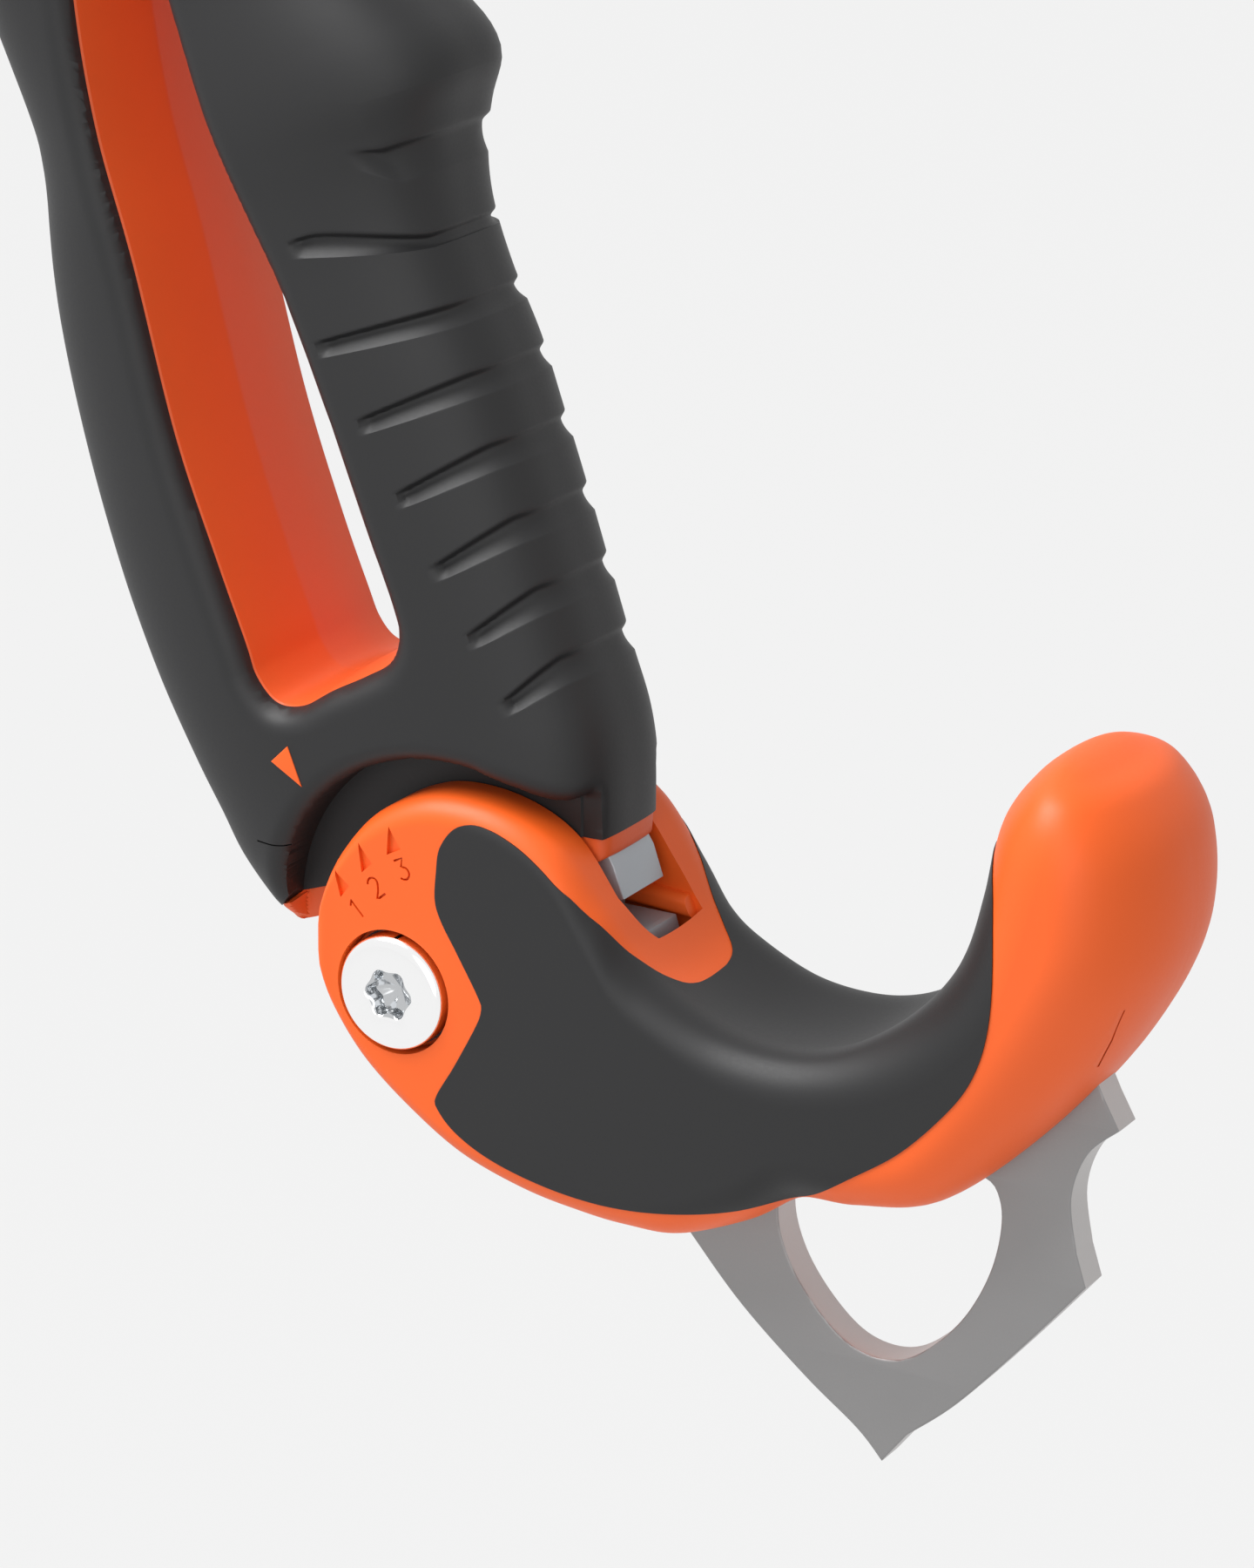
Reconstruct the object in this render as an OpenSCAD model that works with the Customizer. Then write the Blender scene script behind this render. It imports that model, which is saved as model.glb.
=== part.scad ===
/* [Rest] */
// Width of the adjustable hand rest across its cheeks
rest_w = 26; // [22:0.5:32]
// Gap between the two cheeks of the rest
fork_gap = 12.2; // [11.8:0.1:14]
// Thickness of the soft pad on the rest
pad_t = 1.2; // [0.8:0.1:2]
// Depth of the hollow across the seat
seat_dish = 1.6; // [0:0.1:3]
// Half width of the horn at its widest
horn_half_w = 14.6; // [12:0.1:18]
// Radius of the web in front of the index plate, about the pivot
web_r = 28.9; // [28.6:0.1:29.5]

/* [Clamp] */
// Diameter of the clamp screw's shank
screw_d = 6; // [5:0.5:7]
// Diameter of the clamp screw's head
screw_head_d = 12.1; // [10:0.1:13]
// Thickness of the clamp screw's head
screw_head_t = 2.7; // [2:0.1:4]
// Diameter of the counterbore round the head
counterbore_d = 14; // [13.2:0.1:16]
// Thickness of the captive washer
washer_t = 1; // [0.6:0.1:1.5]
// Outside diameter of the pivot sleeve
sleeve_d = 9; // [8:0.5:10]
// Width across the flats of the clamp nut
nut_af = 10; // [9:0.5:11]

/* [Index] */
// Thickness of the index plate
plate_t = 8.6; // [6:0.1:8.8]
// Radius of the plate's toothed front edge, about the pivot
crest_r = 26.2; // [24:0.1:27]
// Depth of the index notch
notch_depth = 3.2; // [2:0.1:4]
// Turn between two index positions
index_step = 14; // [10:1:14]
// Radius of the plate's round lower end
plate_end_r = 13; // [11:0.1:13.2]

/* [Handle] */
// Lean of the handle, back from upright
handle_tilt = 20.2; // [15:0.1:25]
// Half width of the handle along the grip
grip_half_w = 12.6; // [11:0.1:14]
// Thickness of the soft overmould
skin_t = 2; // [1.5:0.1:2.5]
// Height of the bare lip below the overmould
lip_h = 2.5; // [1.5:0.1:4]
// Distance from the pivot to the handle's end face
handle_end = 8.1; // [7.5:0.1:9]
// Number of grooves across the grip
groove_count = 8; // [4:1:9]
// Distance between two grooves
groove_pitch = 7.75; // [6.5:0.05:8]
// Depth of a groove
groove_depth = 1.2; // [0.6:0.1:1.4]
// Draft of the window's walls, from the middle to each side
window_draft = 1.1; // [0.2:0.1:2]

/* [Spike] */
// Thickness of the spike blade
spike_t = 4; // [3:0.1:5]

/* [Shaft and head] */
// Half depth of the shaft's oval section
shaft_half_d = 13.5; // [11:0.1:14]
// Half width of the shaft's oval section
shaft_half_w = 9.5; // [8:0.1:10.5]
// Wall of the shaft
shaft_wall = 1.8; // [1.2:0.1:3]
// Thickness of the upper grip's rubber
upper_grip_t = 2; // [1.2:0.1:3]
// Width of the head
head_w = 16; // [14:0.5:20]
// Diameter of the clip hole in the head
clip_hole_d = 11; // [9:0.5:12]
// Thickness of the pick
pick_t = 4; // [3:0.1:5]
// Number of teeth along the pick
pick_teeth = 14; // [8:1:18]
// Depth of the pick's teeth
tooth_depth = 3; // [2:0.1:4]
// Diameter of the two pick bolts
pick_bolt_d = 6; // [5:0.5:7]

/* [Hidden] */

// Running, seating and free clearances
run_gap = 0.05;
seat_gap = 0.3;
sweep_gap = 0.6;
tongue_half = fork_gap / 2 - seat_gap;
// Reach of the cutting bodies, well past the lower part of the tool
cutter = 60;

// The origin is the middle of the clip hole; every piece is drawn from the rest's pivot
clip_at = [-42, 424];

rest_half_w = rest_w / 2;
cheek_flat = 0.2;
// The cheeks' round outline, seen from the side
cheek_at = [7.2, 3.8];
cheek_r = 18.6;
// Saddle of the rest, as stations from the rear of the cheeks to the tip of the horn:
// top x and z, bottom x and z, half width, squareness of the section, share of the dish
rest_keys = [
    [-9.8, 7.0, -9.9, 0.8, rest_half_w - 2.4, 4, 0],
    cheek_station(145, [-8.4, -5.0], 0, 5, 0),
    cheek_station(122, [-4.6, -10.0], cheek_flat, 6, 0),
    cheek_station(99, [0.7, -14.4], cheek_flat, 6, 0),
    cheek_station(75, [7.5, -18.2], cheek_flat, 6, 0),
    cheek_station(52.5, [15.3, -20.6], cheek_flat, 6, 0.3),
    [24.2, 12.2, 24.2, -22.0, rest_half_w + cheek_flat, 5, 0.6],
    [31.2, 5.8, 33.4, -21.8, rest_half_w, 4, 0.9],
    [38.0, 3.0, 41.4, -19.0, rest_half_w, 3.6, 1],
    [45.0, 2.4, 47.3, -15.6, rest_half_w, 3.4, 1],
    [51.3, 3.7, 54.3, -15.0, rest_half_w, 3.2, 1],
    [57.0, 7.2, 62.9, -12.6, rest_half_w, 3, 0.9],
    [61.6, 11.8, 71.9, -4.8, rest_half_w, 2.8, 0.6],
    [64.6, 16.7, 80.6, 6.0, mix(rest_half_w, horn_half_w, 0.6), 2.6, 0.3],
    [66.6, 23.2, 86.0, 17.4, horn_half_w, 2.4, 0],
    [67.8, 30.1, 86.5, 27.8, horn_half_w - 0.4, 2.3, 0],
    [70.7, 35.0, 82.2, 34.2, horn_half_w - 2.8, 2.2, 0],
    [74.0, 37.4, 78.8, 37.1, horn_half_w - 8.6, 2.1, 0]
];
rest_rings = 24;
rest_sides = 24;

// Edge of the pad seen from the side, once round
pad_edge = [
    [10.0, 20.4], [7.0, 18.6], [5.4, 13.9], [6.2, 8.4], [10.0, 1.6], [10.2, -1.4], [5.9, -9.6],
    [6.3, -13.6], [16.4, -17.5], [28.8, -18.3], [37.7, -17.2], [47.2, -13.4], [56.4, -8.6],
    [64.2, -2.0], [69.0, 6.4], [70.6, 16.0], [69.6, 26.0], [60.0, 27.0], [40.0, 16.0],
    [32.4, 8.4], [30.4, 3.4], [26.4, 7.0], [21.8, 12.0], [15.8, 17.4]
];

// Room between the cheeks: its radius about the pivot, and the lowest angle of the web
cavity_r = 14.5;
cavity_low = -24;

// Handle sections along its own leaning axis: height, back, front, half width
handle_keys = [
    [handle_end, -15.2, 26.2, grip_half_w - 0.6],
    [12, -17.4, 27.6, grip_half_w - 0.2],
    [20, -20.5, 30.2, grip_half_w],
    [32, -22.8, 31.0, grip_half_w],
    [46, -23.9, 31.5, grip_half_w],
    [60, -23.4, 31.6, grip_half_w],
    [73, -21.9, 30.8, grip_half_w],
    [82.5, -20.0, 32.2, grip_half_w],
    [90.6, -17.4, 37.0, grip_half_w + 0.6],
    [98, -16.2, 35.0, grip_half_w + 0.4],
    [107, -16.8, 29.4, grip_half_w - 0.2],
    [120, -17.6, 23.6, grip_half_w - 0.8],
    [135, -19.4, 17.8, grip_half_w - 1.2],
    [150, -20.2, 13.6, grip_half_w - 1.4],
    [165, -20.0, 11.4, grip_half_w - 1.6]
];
handle_rings = 22;
handle_sides = 20;
handle_squareness = 3;
// The overmould's front has to pass inside the web over the whole sweep
tongue_r = web_r - sweep_gap;

// Window through the handle in the handle's own frame, once round from its lower left
window_edge = [
    [-3.2, 33.0], [-5.9, 36.2], [-6.4, 46], [-6.1, 62], [-4.4, 82], [-2.8, 98], [-0.4, 112],
    [2.6, 124], [6.0, 128], [9.0, 124], [10.4, 110], [11.4, 96], [12.7, 83], [13.6, 70],
    [14.0, 54], [14.2, 40], [12.6, 34.4], [8.4, 32.8], [2.6, 32.2]
];

// Grooves across the grip: height of the lowest, where each starts and how much higher it is
// there than at the front, where they run level, and the widths at both ends
groove_first = 27.5;
groove_back = [23.7, 22.3, 20.9, 19.5, 17.9, 15.9, 16.6, 26.3];
groove_rise = [-1.6, -1.5, -1.4, -1.1, -0.4, 0.9, 3.1, 3.0];
groove_level = 29.6;
groove_w_back = 1.9;
groove_w_front = 3.7;

// Hollows in the handle's sides that the cheeks turn in
cheek_reach = norm(cheek_at);
cheek_angle = atan2(cheek_at[1], cheek_at[0]);
index_range = 2 * index_step;
// One hollow holds the cheek in every position
scoop_at = turned([cheek_reach, 0], cheek_angle + index_range / 2);
scoop_r = cheek_r + sweep_gap + cheek_reach * sin(index_range / 2);
scoop_floor_t = 0.9;

// Clamp along its own axis, from the near side inwards
screw_proud = 0.6;
head_out = -rest_half_w - screw_proud;
head_in = head_out + screw_head_t;
washer_in = head_in + washer_t;
sleeve_end = abs(washer_in) - seat_gap;
nut_out = rest_half_w - 0.1;
nut_in = sleeve_end + seat_gap;
sleeve_bore_r = screw_d / 2 + 2 * run_gap;
head_edge_cut = 0.8;
lobe_circle = 2.1;
lobe_r = 0.75;
socket_floor = head_in - 0.4;

// Index plate: lowest angle of its crest, angle of its notch, widths of the notch
crest_from = 8;
crest_to = 60;
notch_angle = 22;
notch_w_in = 1.2;
notch_w_out = 5.2;
// Its neck inside the handle and the pins through it, in the handle's own frame
neck_at = [-12, 18];
neck_size = [36, 13];
plate_pin_r = 2;
plate_pin_at = [[-8, 25], [20, 27.5]];
plate_pin_half = grip_half_w - skin_t - 2;

// Pointer beside the cheek, inlaid in the near side of the overmould
pointer_edge = [[-15.3, 23.1], [-13.2, 25.2], [-11.5, 21.0]];
pointer_t = 0.7;

// Spike pins
spike_pin_r = 2;
spike_pin_half = 8.5;
spike_pin_at = [[34, -17.2], [68, -4.6]];

// Shaft's middle line, from inside the handle to inside the head
shaft_keys = [
    [-50.5, 125], [-60.5, 153], [-70, 190], [-75, 235], [-72.5, 285], [-63, 335], [-47, 382],
    [-36, 406]
];
shaft_rings = 18;
shaft_sides = 20;
grip_from = 3.1;
grip_to = 4.5;
sleeve_from = 5.55;
socket_wall = 2.4;

// Head's outline, once round
head_edge = [
    [-30, 391], [-12, 399], [8, 401], [17, 409], [12, 419], [-8, 430], [-34, 437],
    [-60, 437], [-74, 430], [-74, 418], [-62, 405], [-48, 396]
];
head_slot = [[-31, 398], [60, 380], [60, 450], [-31, 450]];
head_pin_r = 2.5;
head_pin_at = [[-50.4, 372.8], [-42.5, 391.8]];

// Pick: its back and its belly, from the head to the tip
pick_back = [[-30, 427], [0, 425], [34, 419], [70, 406], [102, 388], [126, 366], [134, 354]];
pick_belly = [
    [130.5, 354.5], [120, 362], [104, 373.5], [84, 384.5], [56, 395.5], [34, 401], [18, 403]
];
pick_tang = [[-6, 404.5], [-28, 411]];
toothed_share = 0.87;
shallow_teeth = 3;
tooth_lean = 0.3;
pick_bolt_at = [[-20, 418.5], [3, 413]];
pick_bolt_head_t = 3;
pick_socket_r = 2.3;
pick_nut_r = 5.8;
pick_nut_t = 4;
weight_at = [[27, 411.5], [48, 406]];
weight_t = 4;
weight_screw_r = 2;
weight_r = 6;
weight_screw_head = 1.6;

// Hammer
hammer_tongue_t = 6;
hammer_bolt_at = [-63, 422];
hammer_bolt_r = 2.5;
hammer_face_x = -98;
hammer_neck_x = -76.5;
hammer_r = 11;
hammer_tongue_at = [-80, 412];
hammer_tongue_size = [25, 20];
hammer_slot_end = -54;
hammer_rivet_t = 2;

function mix(a, b, t) = a + (b - a) * t;

function clamped(list, i) = list[max(0, min(len(list) - 1, i))];

// Smooth curve through the rows of a list; u counts rows
function curve(list, u) =
    let (
        i = floor(min(u, len(list) - 1.000001)),
        t = u - i,
        a = clamped(list, i - 1),
        b = clamped(list, i),
        c = clamped(list, i + 1),
        d = clamped(list, i + 2)
    )
    0.5 * (2 * b + (c - a) * t + (2 * a - 5 * b + 4 * c - d) * t * t
        + (3 * b - a - 3 * c + d) * t * t * t);

// Closed smooth outline through a list of corners
function closed_curve(list, steps) =
    let (n = len(list))
    [for (i = [0 : n - 1], k = [0 : steps - 1])
        let (
            t = k / steps,
            a = list[(i + n - 1) % n],
            b = list[i],
            c = list[(i + 1) % n],
            d = list[(i + 2) % n]
        )
        0.5 * (2 * b + (c - a) * t + (2 * a - 5 * b + 4 * c - d) * t * t
            + (3 * b - a - 3 * c + d) * t * t * t)];

function open_curve(list, steps) =
    [for (k = [0 : steps * (len(list) - 1)]) curve(list, k / steps)];

function signed_power(v, p) = sign(v) * pow(abs(v), p);

function turned(p, angle) =
    [p[0] * cos(angle) - p[1] * sin(angle), p[0] * sin(angle) + p[1] * cos(angle)];

// Row of the saddle whose top lies on the cheeks' round outline
function cheek_station(angle, low, fuller, squareness, dish) =
    let (top = cheek_at + turned([cheek_r, 0], angle))
    [top[0], top[1], low[0], low[1], rest_half_w + fuller, squareness, dish];

// Closed surface through rings of points that all have the same count
module skin(rings) {
    n = len(rings[0]);
    m = len(rings);
    points = [for (ring = rings, p = ring) p];
    sides = [for (i = [0 : m - 2], j = [0 : n - 1])
        let (a = i * n + j, b = i * n + (j + 1) % n)
        each [[a, b + n, b], [a, a + n, b + n]]];
    first = [for (j = [0 : n - 1]) j];
    last = [for (j = [n - 1 : -1 : 0]) (m - 1) * n + j];
    polyhedron(points, concat(sides, [first, last]), convexity = 10);
}

// Flat profile in x and z, given a thickness across the tool
module slab(thickness) {
    rotate([90, 0, 0])
        translate([0, 0, -thickness / 2])
            linear_extrude(thickness) children();
}

// Round bar across the tool, from one y to another
module cross_bar(at, r, from, to, sides = 48) {
    translate([at[0], from, at[1]])
        rotate([-90, 0, 0])
            cylinder(r = r, h = to - from, $fn = sides);
}

// One skin of facets, so that bores cut into it stay round
module moulded() {
    resize([0, 0, 0]) union() children();
}

module at_origin() {
    translate([-clip_at[0], 0, -clip_at[1]]) children();
}

// Section of the saddle: an oval from the bottom line to the top line, dished on top
function rest_ring(k, inset) =
    let (
        top = [k[0], k[1]],
        low = [k[2], k[3]],
        half = norm(top - low) / 2,
        up = (top - low) / (2 * half),
        mid = (top + low) / 2,
        w = k[4] - inset,
        flat = max(rest_half_w, k[4] - cheek_flat) - inset,
        h = half - inset,
        p = 2 / k[5]
    )
    [for (j = [0 : rest_sides - 1])
        let (
            a = 360 * (j + 0.5) / rest_sides,
            side = w * signed_power(cos(a), p),
            y = max(-flat, min(flat, side)),
            v = signed_power(sin(a), p),
            drop = v > 0 ? seat_dish * k[6] * v * (1 - pow(side / w, 2)) : 0,
            q = mid + up * (h * v - drop)
        )
        [q[0], y, q[1]]];

module rest_form(inset) {
    last = len(rest_keys) - 1;
    skin([for (i = [0 : rest_rings]) rest_ring(curve(rest_keys, last * i / rest_rings), inset)]);
}

module pad_zone() {
    slab(3 * rest_w) polygon(closed_curve(pad_edge, 2));
}

// Room between the cheeks for the index plate and the end of the handle
module fork_cavity() {
    slab(fork_gap) {
        circle(r = cavity_r, $fn = 64);
        intersection() {
            circle(r = web_r, $fn = 96);
            polygon([[0, 0], cutter * [cos(cavity_low), sin(cavity_low)], [cutter, cutter],
                [-cutter, cutter], [-cutter, 0]]);
        }
    }
}

module spike_profile() {
    edge = concat(
        open_curve([[23.5, -17.5], [30.3, -25.6], [36.6, -32.4], [44.2, -39], [50.6, -43.4],
            [53.9, -46.4]], 3),
        open_curve([[57.2, -42.4], [63.2, -37.4], [70.8, -28.8], [77.2, -20.2]], 3),
        open_curve([[75.4, -17], [74.2, -11], [76.0, -5.4], [80.3, -2.2]], 3),
        open_curve([[78.6, 0.6], [77.0, 4.2], [76.4, 8.0]], 2),
        open_curve([[72.0, 4.6], [65.0, -3.6], [56.0, -8.6], [40.0, -12.0], [30.0, -13.4]], 2)
    );
    difference() {
        polygon(edge);
        polygon(closed_curve(clip_edge, 4));
    }
}

// Clip hole in the spike, once round; the rest closes its top
clip_edge = [
    [41.0, -20.6], [42.0, -26], [45.4, -31], [49.6, -34.4], [54.4, -34.8], [58.6, -32.4],
    [63.4, -27], [66.6, -20], [67.0, -14.2], [62.0, -12.2], [50.0, -13.8], [42.6, -15.4]
];

module rest_body() {
    color("#f3653a") at_origin() difference() {
        moulded() difference() {
            union() {
                difference() {
                    rest_form(0);
                    pad_zone();
                }
                rest_form(pad_t);
            }
            fork_cavity();
            slab(spike_t) spike_profile();
            spike_pin_bars(spike_pin_half, 24, run_gap);
        }
        cross_bar([0, 0], sleeve_d / 2 + run_gap, -cutter, cutter);
        cross_bar([0, 0], counterbore_d / 2, -cutter, washer_in);
        clamp_nut_form(0.1, cutter);
    }
}

module rest_pad() {
    color("#3a3a3b") at_origin() moulded() difference() {
        intersection() {
            rest_form(0);
            pad_zone();
        }
        rest_form(pad_t);
        fork_cavity();
    }
}

module spike_pin_bars(half, sides, grow = 0) {
    for (at = spike_pin_at) cross_bar(at, spike_pin_r + grow, -half, half, sides);
}

module spike_blade() {
    color("#8c8d8f") at_origin() difference() {
        slab(spike_t) spike_profile();
        spike_pin_bars(cutter, 48);
    }
}

module spike_pins() {
    color("#9a9ca0") at_origin() spike_pin_bars(spike_pin_half, 48);
}

module clamp_nut_form(grow, out) {
    translate([0, nut_in, 0])
        rotate([-90, 0, 0])
            cylinder(r = (nut_af / 2 + grow) / cos(30), h = out - nut_in, $fn = 6);
}

module clamp_nut() {
    color("#b9bcc0") at_origin() difference() {
        clamp_nut_form(0, nut_out);
        cross_bar([0, 0], screw_d / 2 + run_gap, 0, cutter);
    }
}

module clamp_washer() {
    color("#c9ccd0") at_origin() difference() {
        cross_bar([0, 0], screw_head_d / 2 + 0.5, head_in, washer_in);
        cross_bar([0, 0], screw_d / 2 + run_gap, -cutter, cutter);
    }
}

module clamp_screw() {
    color("#e6e8ea") at_origin() difference() {
        union() {
            cross_bar([0, 0], screw_d / 2, head_in, nut_out);
            translate([0, head_in, 0]) rotate([90, 0, 0]) rotate_extrude($fn = 64)
                polygon([[0, 0], [screw_head_d / 2, 0],
                    [screw_head_d / 2, screw_head_t - head_edge_cut],
                    [screw_head_d / 2 - head_edge_cut, screw_head_t], [0, screw_head_t]]);
        }
        for (i = [0 : 5])
            cross_bar(turned([lobe_circle, 0], 60 * i), lobe_r, -cutter, socket_floor, 24);
        cross_bar([0, 0], lobe_circle, -cutter, socket_floor, 24);
    }
}

module pivot_sleeve() {
    color("#a8abb0") at_origin() difference() {
        cross_bar([0, 0], sleeve_d / 2, -sleeve_end, sleeve_end);
        cross_bar([0, 0], sleeve_bore_r, -cutter, cutter);
    }
}

module thrust_washers() {
    color("#2c2d30") at_origin() for (side = [-1, 1]) difference() {
        cross_bar([0, 0], plate_end_r - 1, min(side * plate_t / 2, side * tongue_half),
            max(side * plate_t / 2, side * tongue_half));
        cross_bar([0, 0], sleeve_d / 2, -cutter, cutter);
        rotate([0, -handle_tilt, 0])
            translate([-cutter, -cutter, handle_end]) cube(2 * cutter);
    }
}

// Flat outline of the index plate: round end, neck in the handle and notched crest
module plate_outline() {
    difference() {
        union() {
            hull() {
                circle(r = plate_end_r, $fn = 96);
                rotate(handle_tilt) translate(neck_at) square(neck_size);
            }
            intersection() {
                circle(r = crest_r, $fn = 128);
                polygon([[0, 0], turned([2 * cutter, 0], crest_from),
                    turned([2 * cutter, 0], crest_to)]);
            }
        }
        rotate(notch_angle) polygon([
            [crest_r - notch_depth, -notch_w_in / 2], [crest_r - notch_depth, notch_w_in / 2],
            [crest_r + 1, notch_w_out / 2], [crest_r + 1, -notch_w_out / 2]]);
    }
}

module index_plate() {
    color("#84888d") at_origin() difference() {
        slab(plate_t) plate_outline();
        cross_bar([0, 0], sleeve_d / 2, -cutter, cutter);
        plate_pin_bars(cutter, 48);
    }
}

module plate_pin_bars(half, sides, grow = 0) {
    rotate([0, -handle_tilt, 0])
        for (at = plate_pin_at) cross_bar(at, plate_pin_r + grow, -half, half, sides);
}

module plate_pins() {
    color("#9a9ca0") at_origin() plate_pin_bars(plate_pin_half, 48);
}

function handle_ring(k, inset) =
    let (
        mid = (k[1] + k[2]) / 2,
        d = (k[2] - k[1]) / 2 - inset,
        w = k[3] - inset,
        p = 2 / handle_squareness
    )
    [for (j = [0 : handle_sides - 1])
        let (a = 360 * (j + 0.5) / handle_sides)
        [mid + d * signed_power(cos(a), p), w * signed_power(sin(a), p), k[0]]];

// Outside of the handle, drawn in its own leaning frame
module handle_form(inset) {
    last = len(handle_keys) - 1;
    skin([for (i = [0 : handle_rings])
        handle_ring(curve(handle_keys, last * i / handle_rings), inset)]);
}

// The window's walls lean out both ways from its middle
module window_cut() {
    edge = closed_curve(window_edge, 2);
    mid = [4, 80];
    skin([for (y = [-cutter / 3, 0, cutter / 3])
        [for (p = edge)
            let (q = p + (p - mid) / norm(p - mid) * window_draft * (abs(y) / grip_half_w - 1))
            [q[0], y, q[1]]]]);
}

// Side hollows: the cheek's outline swept through its range, and the flat in front of it
module side_scoops(floor_y, grow = 0) {
    for (side = [0, 1]) mirror([0, side, 0]) {
        cross_bar(scoop_at, scoop_r + grow, -cutter, -floor_y, 64);
        translate([scoop_at[0], -cutter, -cutter])
            cube([cutter, cutter - floor_y, cutter + scoop_at[1] + scoop_r + grow]);
    }
}

module handle_core() {
    color("#f0622f") at_origin() moulded() difference() {
        rotate([0, -handle_tilt, 0]) difference() {
            union() {
                handle_form(skin_t);
                intersection() {
                    handle_form(0);
                    translate([-cutter, -cutter, 0])
                        cube([2 * cutter, 2 * cutter, handle_end + lip_h]);
                }
            }
            window_cut();
        }
        intersection() {
            side_scoops(tongue_half - scoop_floor_t, scoop_floor_t);
            above_lip();
        }
        side_scoops(tongue_half);
        front_clearance();
        slab(plate_t) plate_outline();
        plate_pin_bars(plate_pin_half, 24, run_gap);
        shaft_form(0, 0, shaft_rings);
    }
}

module above_lip() {
    rotate([0, -handle_tilt, 0]) translate([-cutter, -cutter, handle_end + lip_h])
        cube([2 * cutter, 2 * cutter, 4 * cutter]);
}

// Keeps the front of the handle's end inside the web's circle
module front_clearance() {
    difference() {
        translate([0, -cutter, -cutter]) cube([cutter, 2 * cutter, cutter + 20.6]);
        cross_bar([0, 0], tongue_r, -2 * cutter, 2 * cutter, 96);
    }
}

module groove_zone() {
    for (i = [0 : groove_count - 1]) {
        z = groove_first + groove_pitch * i;
        back = clamped(groove_back, i);
        high = z + clamped(groove_rise, i);
        translate([0, cutter, 0]) rotate([90, 0, 0]) linear_extrude(2 * cutter) polygon([
            [back, high], [groove_level, z], [cutter, z], [cutter, z + groove_w_front],
            [groove_level, z + groove_w_front], [back, high + groove_w_back]]);
    }
}

module grip_overmould() {
    color("#3a3a3b") at_origin() moulded() difference() {
        rotate([0, -handle_tilt, 0]) difference() {
            handle_form(0);
            handle_skin_inside();
            window_cut();
            difference() {
                groove_zone();
                handle_form(groove_depth);
            }
        }
        side_scoops(tongue_half);
        front_clearance();
        pointer_form();
        shaft_form(0, 0, shaft_rings);
    }
}

// What the overmould leaves room for: the core, thinner where the cheeks turn
module handle_skin_inside() {
    difference() {
        handle_form(skin_t);
        rotate([0, handle_tilt, 0]) side_scoops(tongue_half - scoop_floor_t, scoop_floor_t);
    }
    translate([-cutter, -cutter, 0]) cube([2 * cutter, 2 * cutter, handle_end + lip_h]);
}

module pointer_form() {
    translate([0, pointer_t - grip_half_w, 0]) rotate([90, 0, 0])
        linear_extrude(cutter) polygon(pointer_edge);
}

module pointer_mark() {
    color("#f3653a") at_origin() intersection() {
        pointer_form();
        rotate([0, -handle_tilt, 0]) handle_form(0);
    }
}

// Oval section square to the shaft's line at row u
function shaft_ring(u, grow) =
    let (
        p = curve(shaft_keys, u),
        ahead = curve(shaft_keys, min(u + 0.05, len(shaft_keys) - 1)),
        behind = curve(shaft_keys, max(u - 0.05, 0)),
        along = (ahead - behind) / norm(ahead - behind),
        across = [along[1], -along[0]]
    )
    [for (j = [0 : shaft_sides - 1])
        let (
            a = 360 * (j + 0.5) / shaft_sides,
            q = p + across * (shaft_half_d + grow) * signed_power(cos(a), 0.8)
        )
        [q[0], (shaft_half_w + grow) * signed_power(sin(a), 0.8), q[1]]];

module shaft_form(grow, from, to) {
    last = len(shaft_keys) - 1;
    skin([for (i = [from : to]) shaft_ring(last * i / shaft_rings, grow)]);
}

module shaft_part(grow, from_u, to_u, rings) {
    skin([for (i = [0 : rings]) shaft_ring(mix(from_u, to_u, i / rings), grow)]);
}

module shaft() {
    color("#55585c") at_origin() moulded() difference() {
        shaft_form(0, 0, shaft_rings);
        shaft_form(-shaft_wall, 0, shaft_rings);
        head_pin_bars(cutter, 24, run_gap);
    }
}

module upper_grip() {
    color("#333435") at_origin() moulded() difference() {
        shaft_part(upper_grip_t, grip_from, grip_to, 6);
        shaft_form(0, 0, shaft_rings);
    }
}

module head() {
    last = len(shaft_keys) - 1;
    color("#6c7075") at_origin() difference() {
        moulded() difference() {
            union() {
                slab(head_w) polygon(closed_curve(head_edge, 3));
                shaft_part(socket_wall, sleeve_from, last, 4);
            }
            shaft_form(0, 0, shaft_rings);
            slab(pick_t) polygon(head_slot);
            slab(hammer_tongue_t) translate([hammer_slot_end - cutter, hammer_bolt_at[1] - cutter])
                square([cutter, 2 * cutter]);
        }
        cross_bar(clip_at, clip_hole_d / 2, -cutter, cutter);
        for (at = pick_bolt_at) cross_bar(at, pick_bolt_d / 2, -cutter, cutter);
        cross_bar(hammer_bolt_at, hammer_bolt_r, -cutter, cutter);
        head_pin_bars(cutter, 48);
    }
}

module head_pin_bars(half, sides, grow = 0) {
    for (at = head_pin_at) cross_bar(at, head_pin_r + grow, -half, half, sides);
}

module head_pins() {
    color("#9a9ca0") at_origin() head_pin_bars(shaft_half_w + socket_wall, 48);
}

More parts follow.
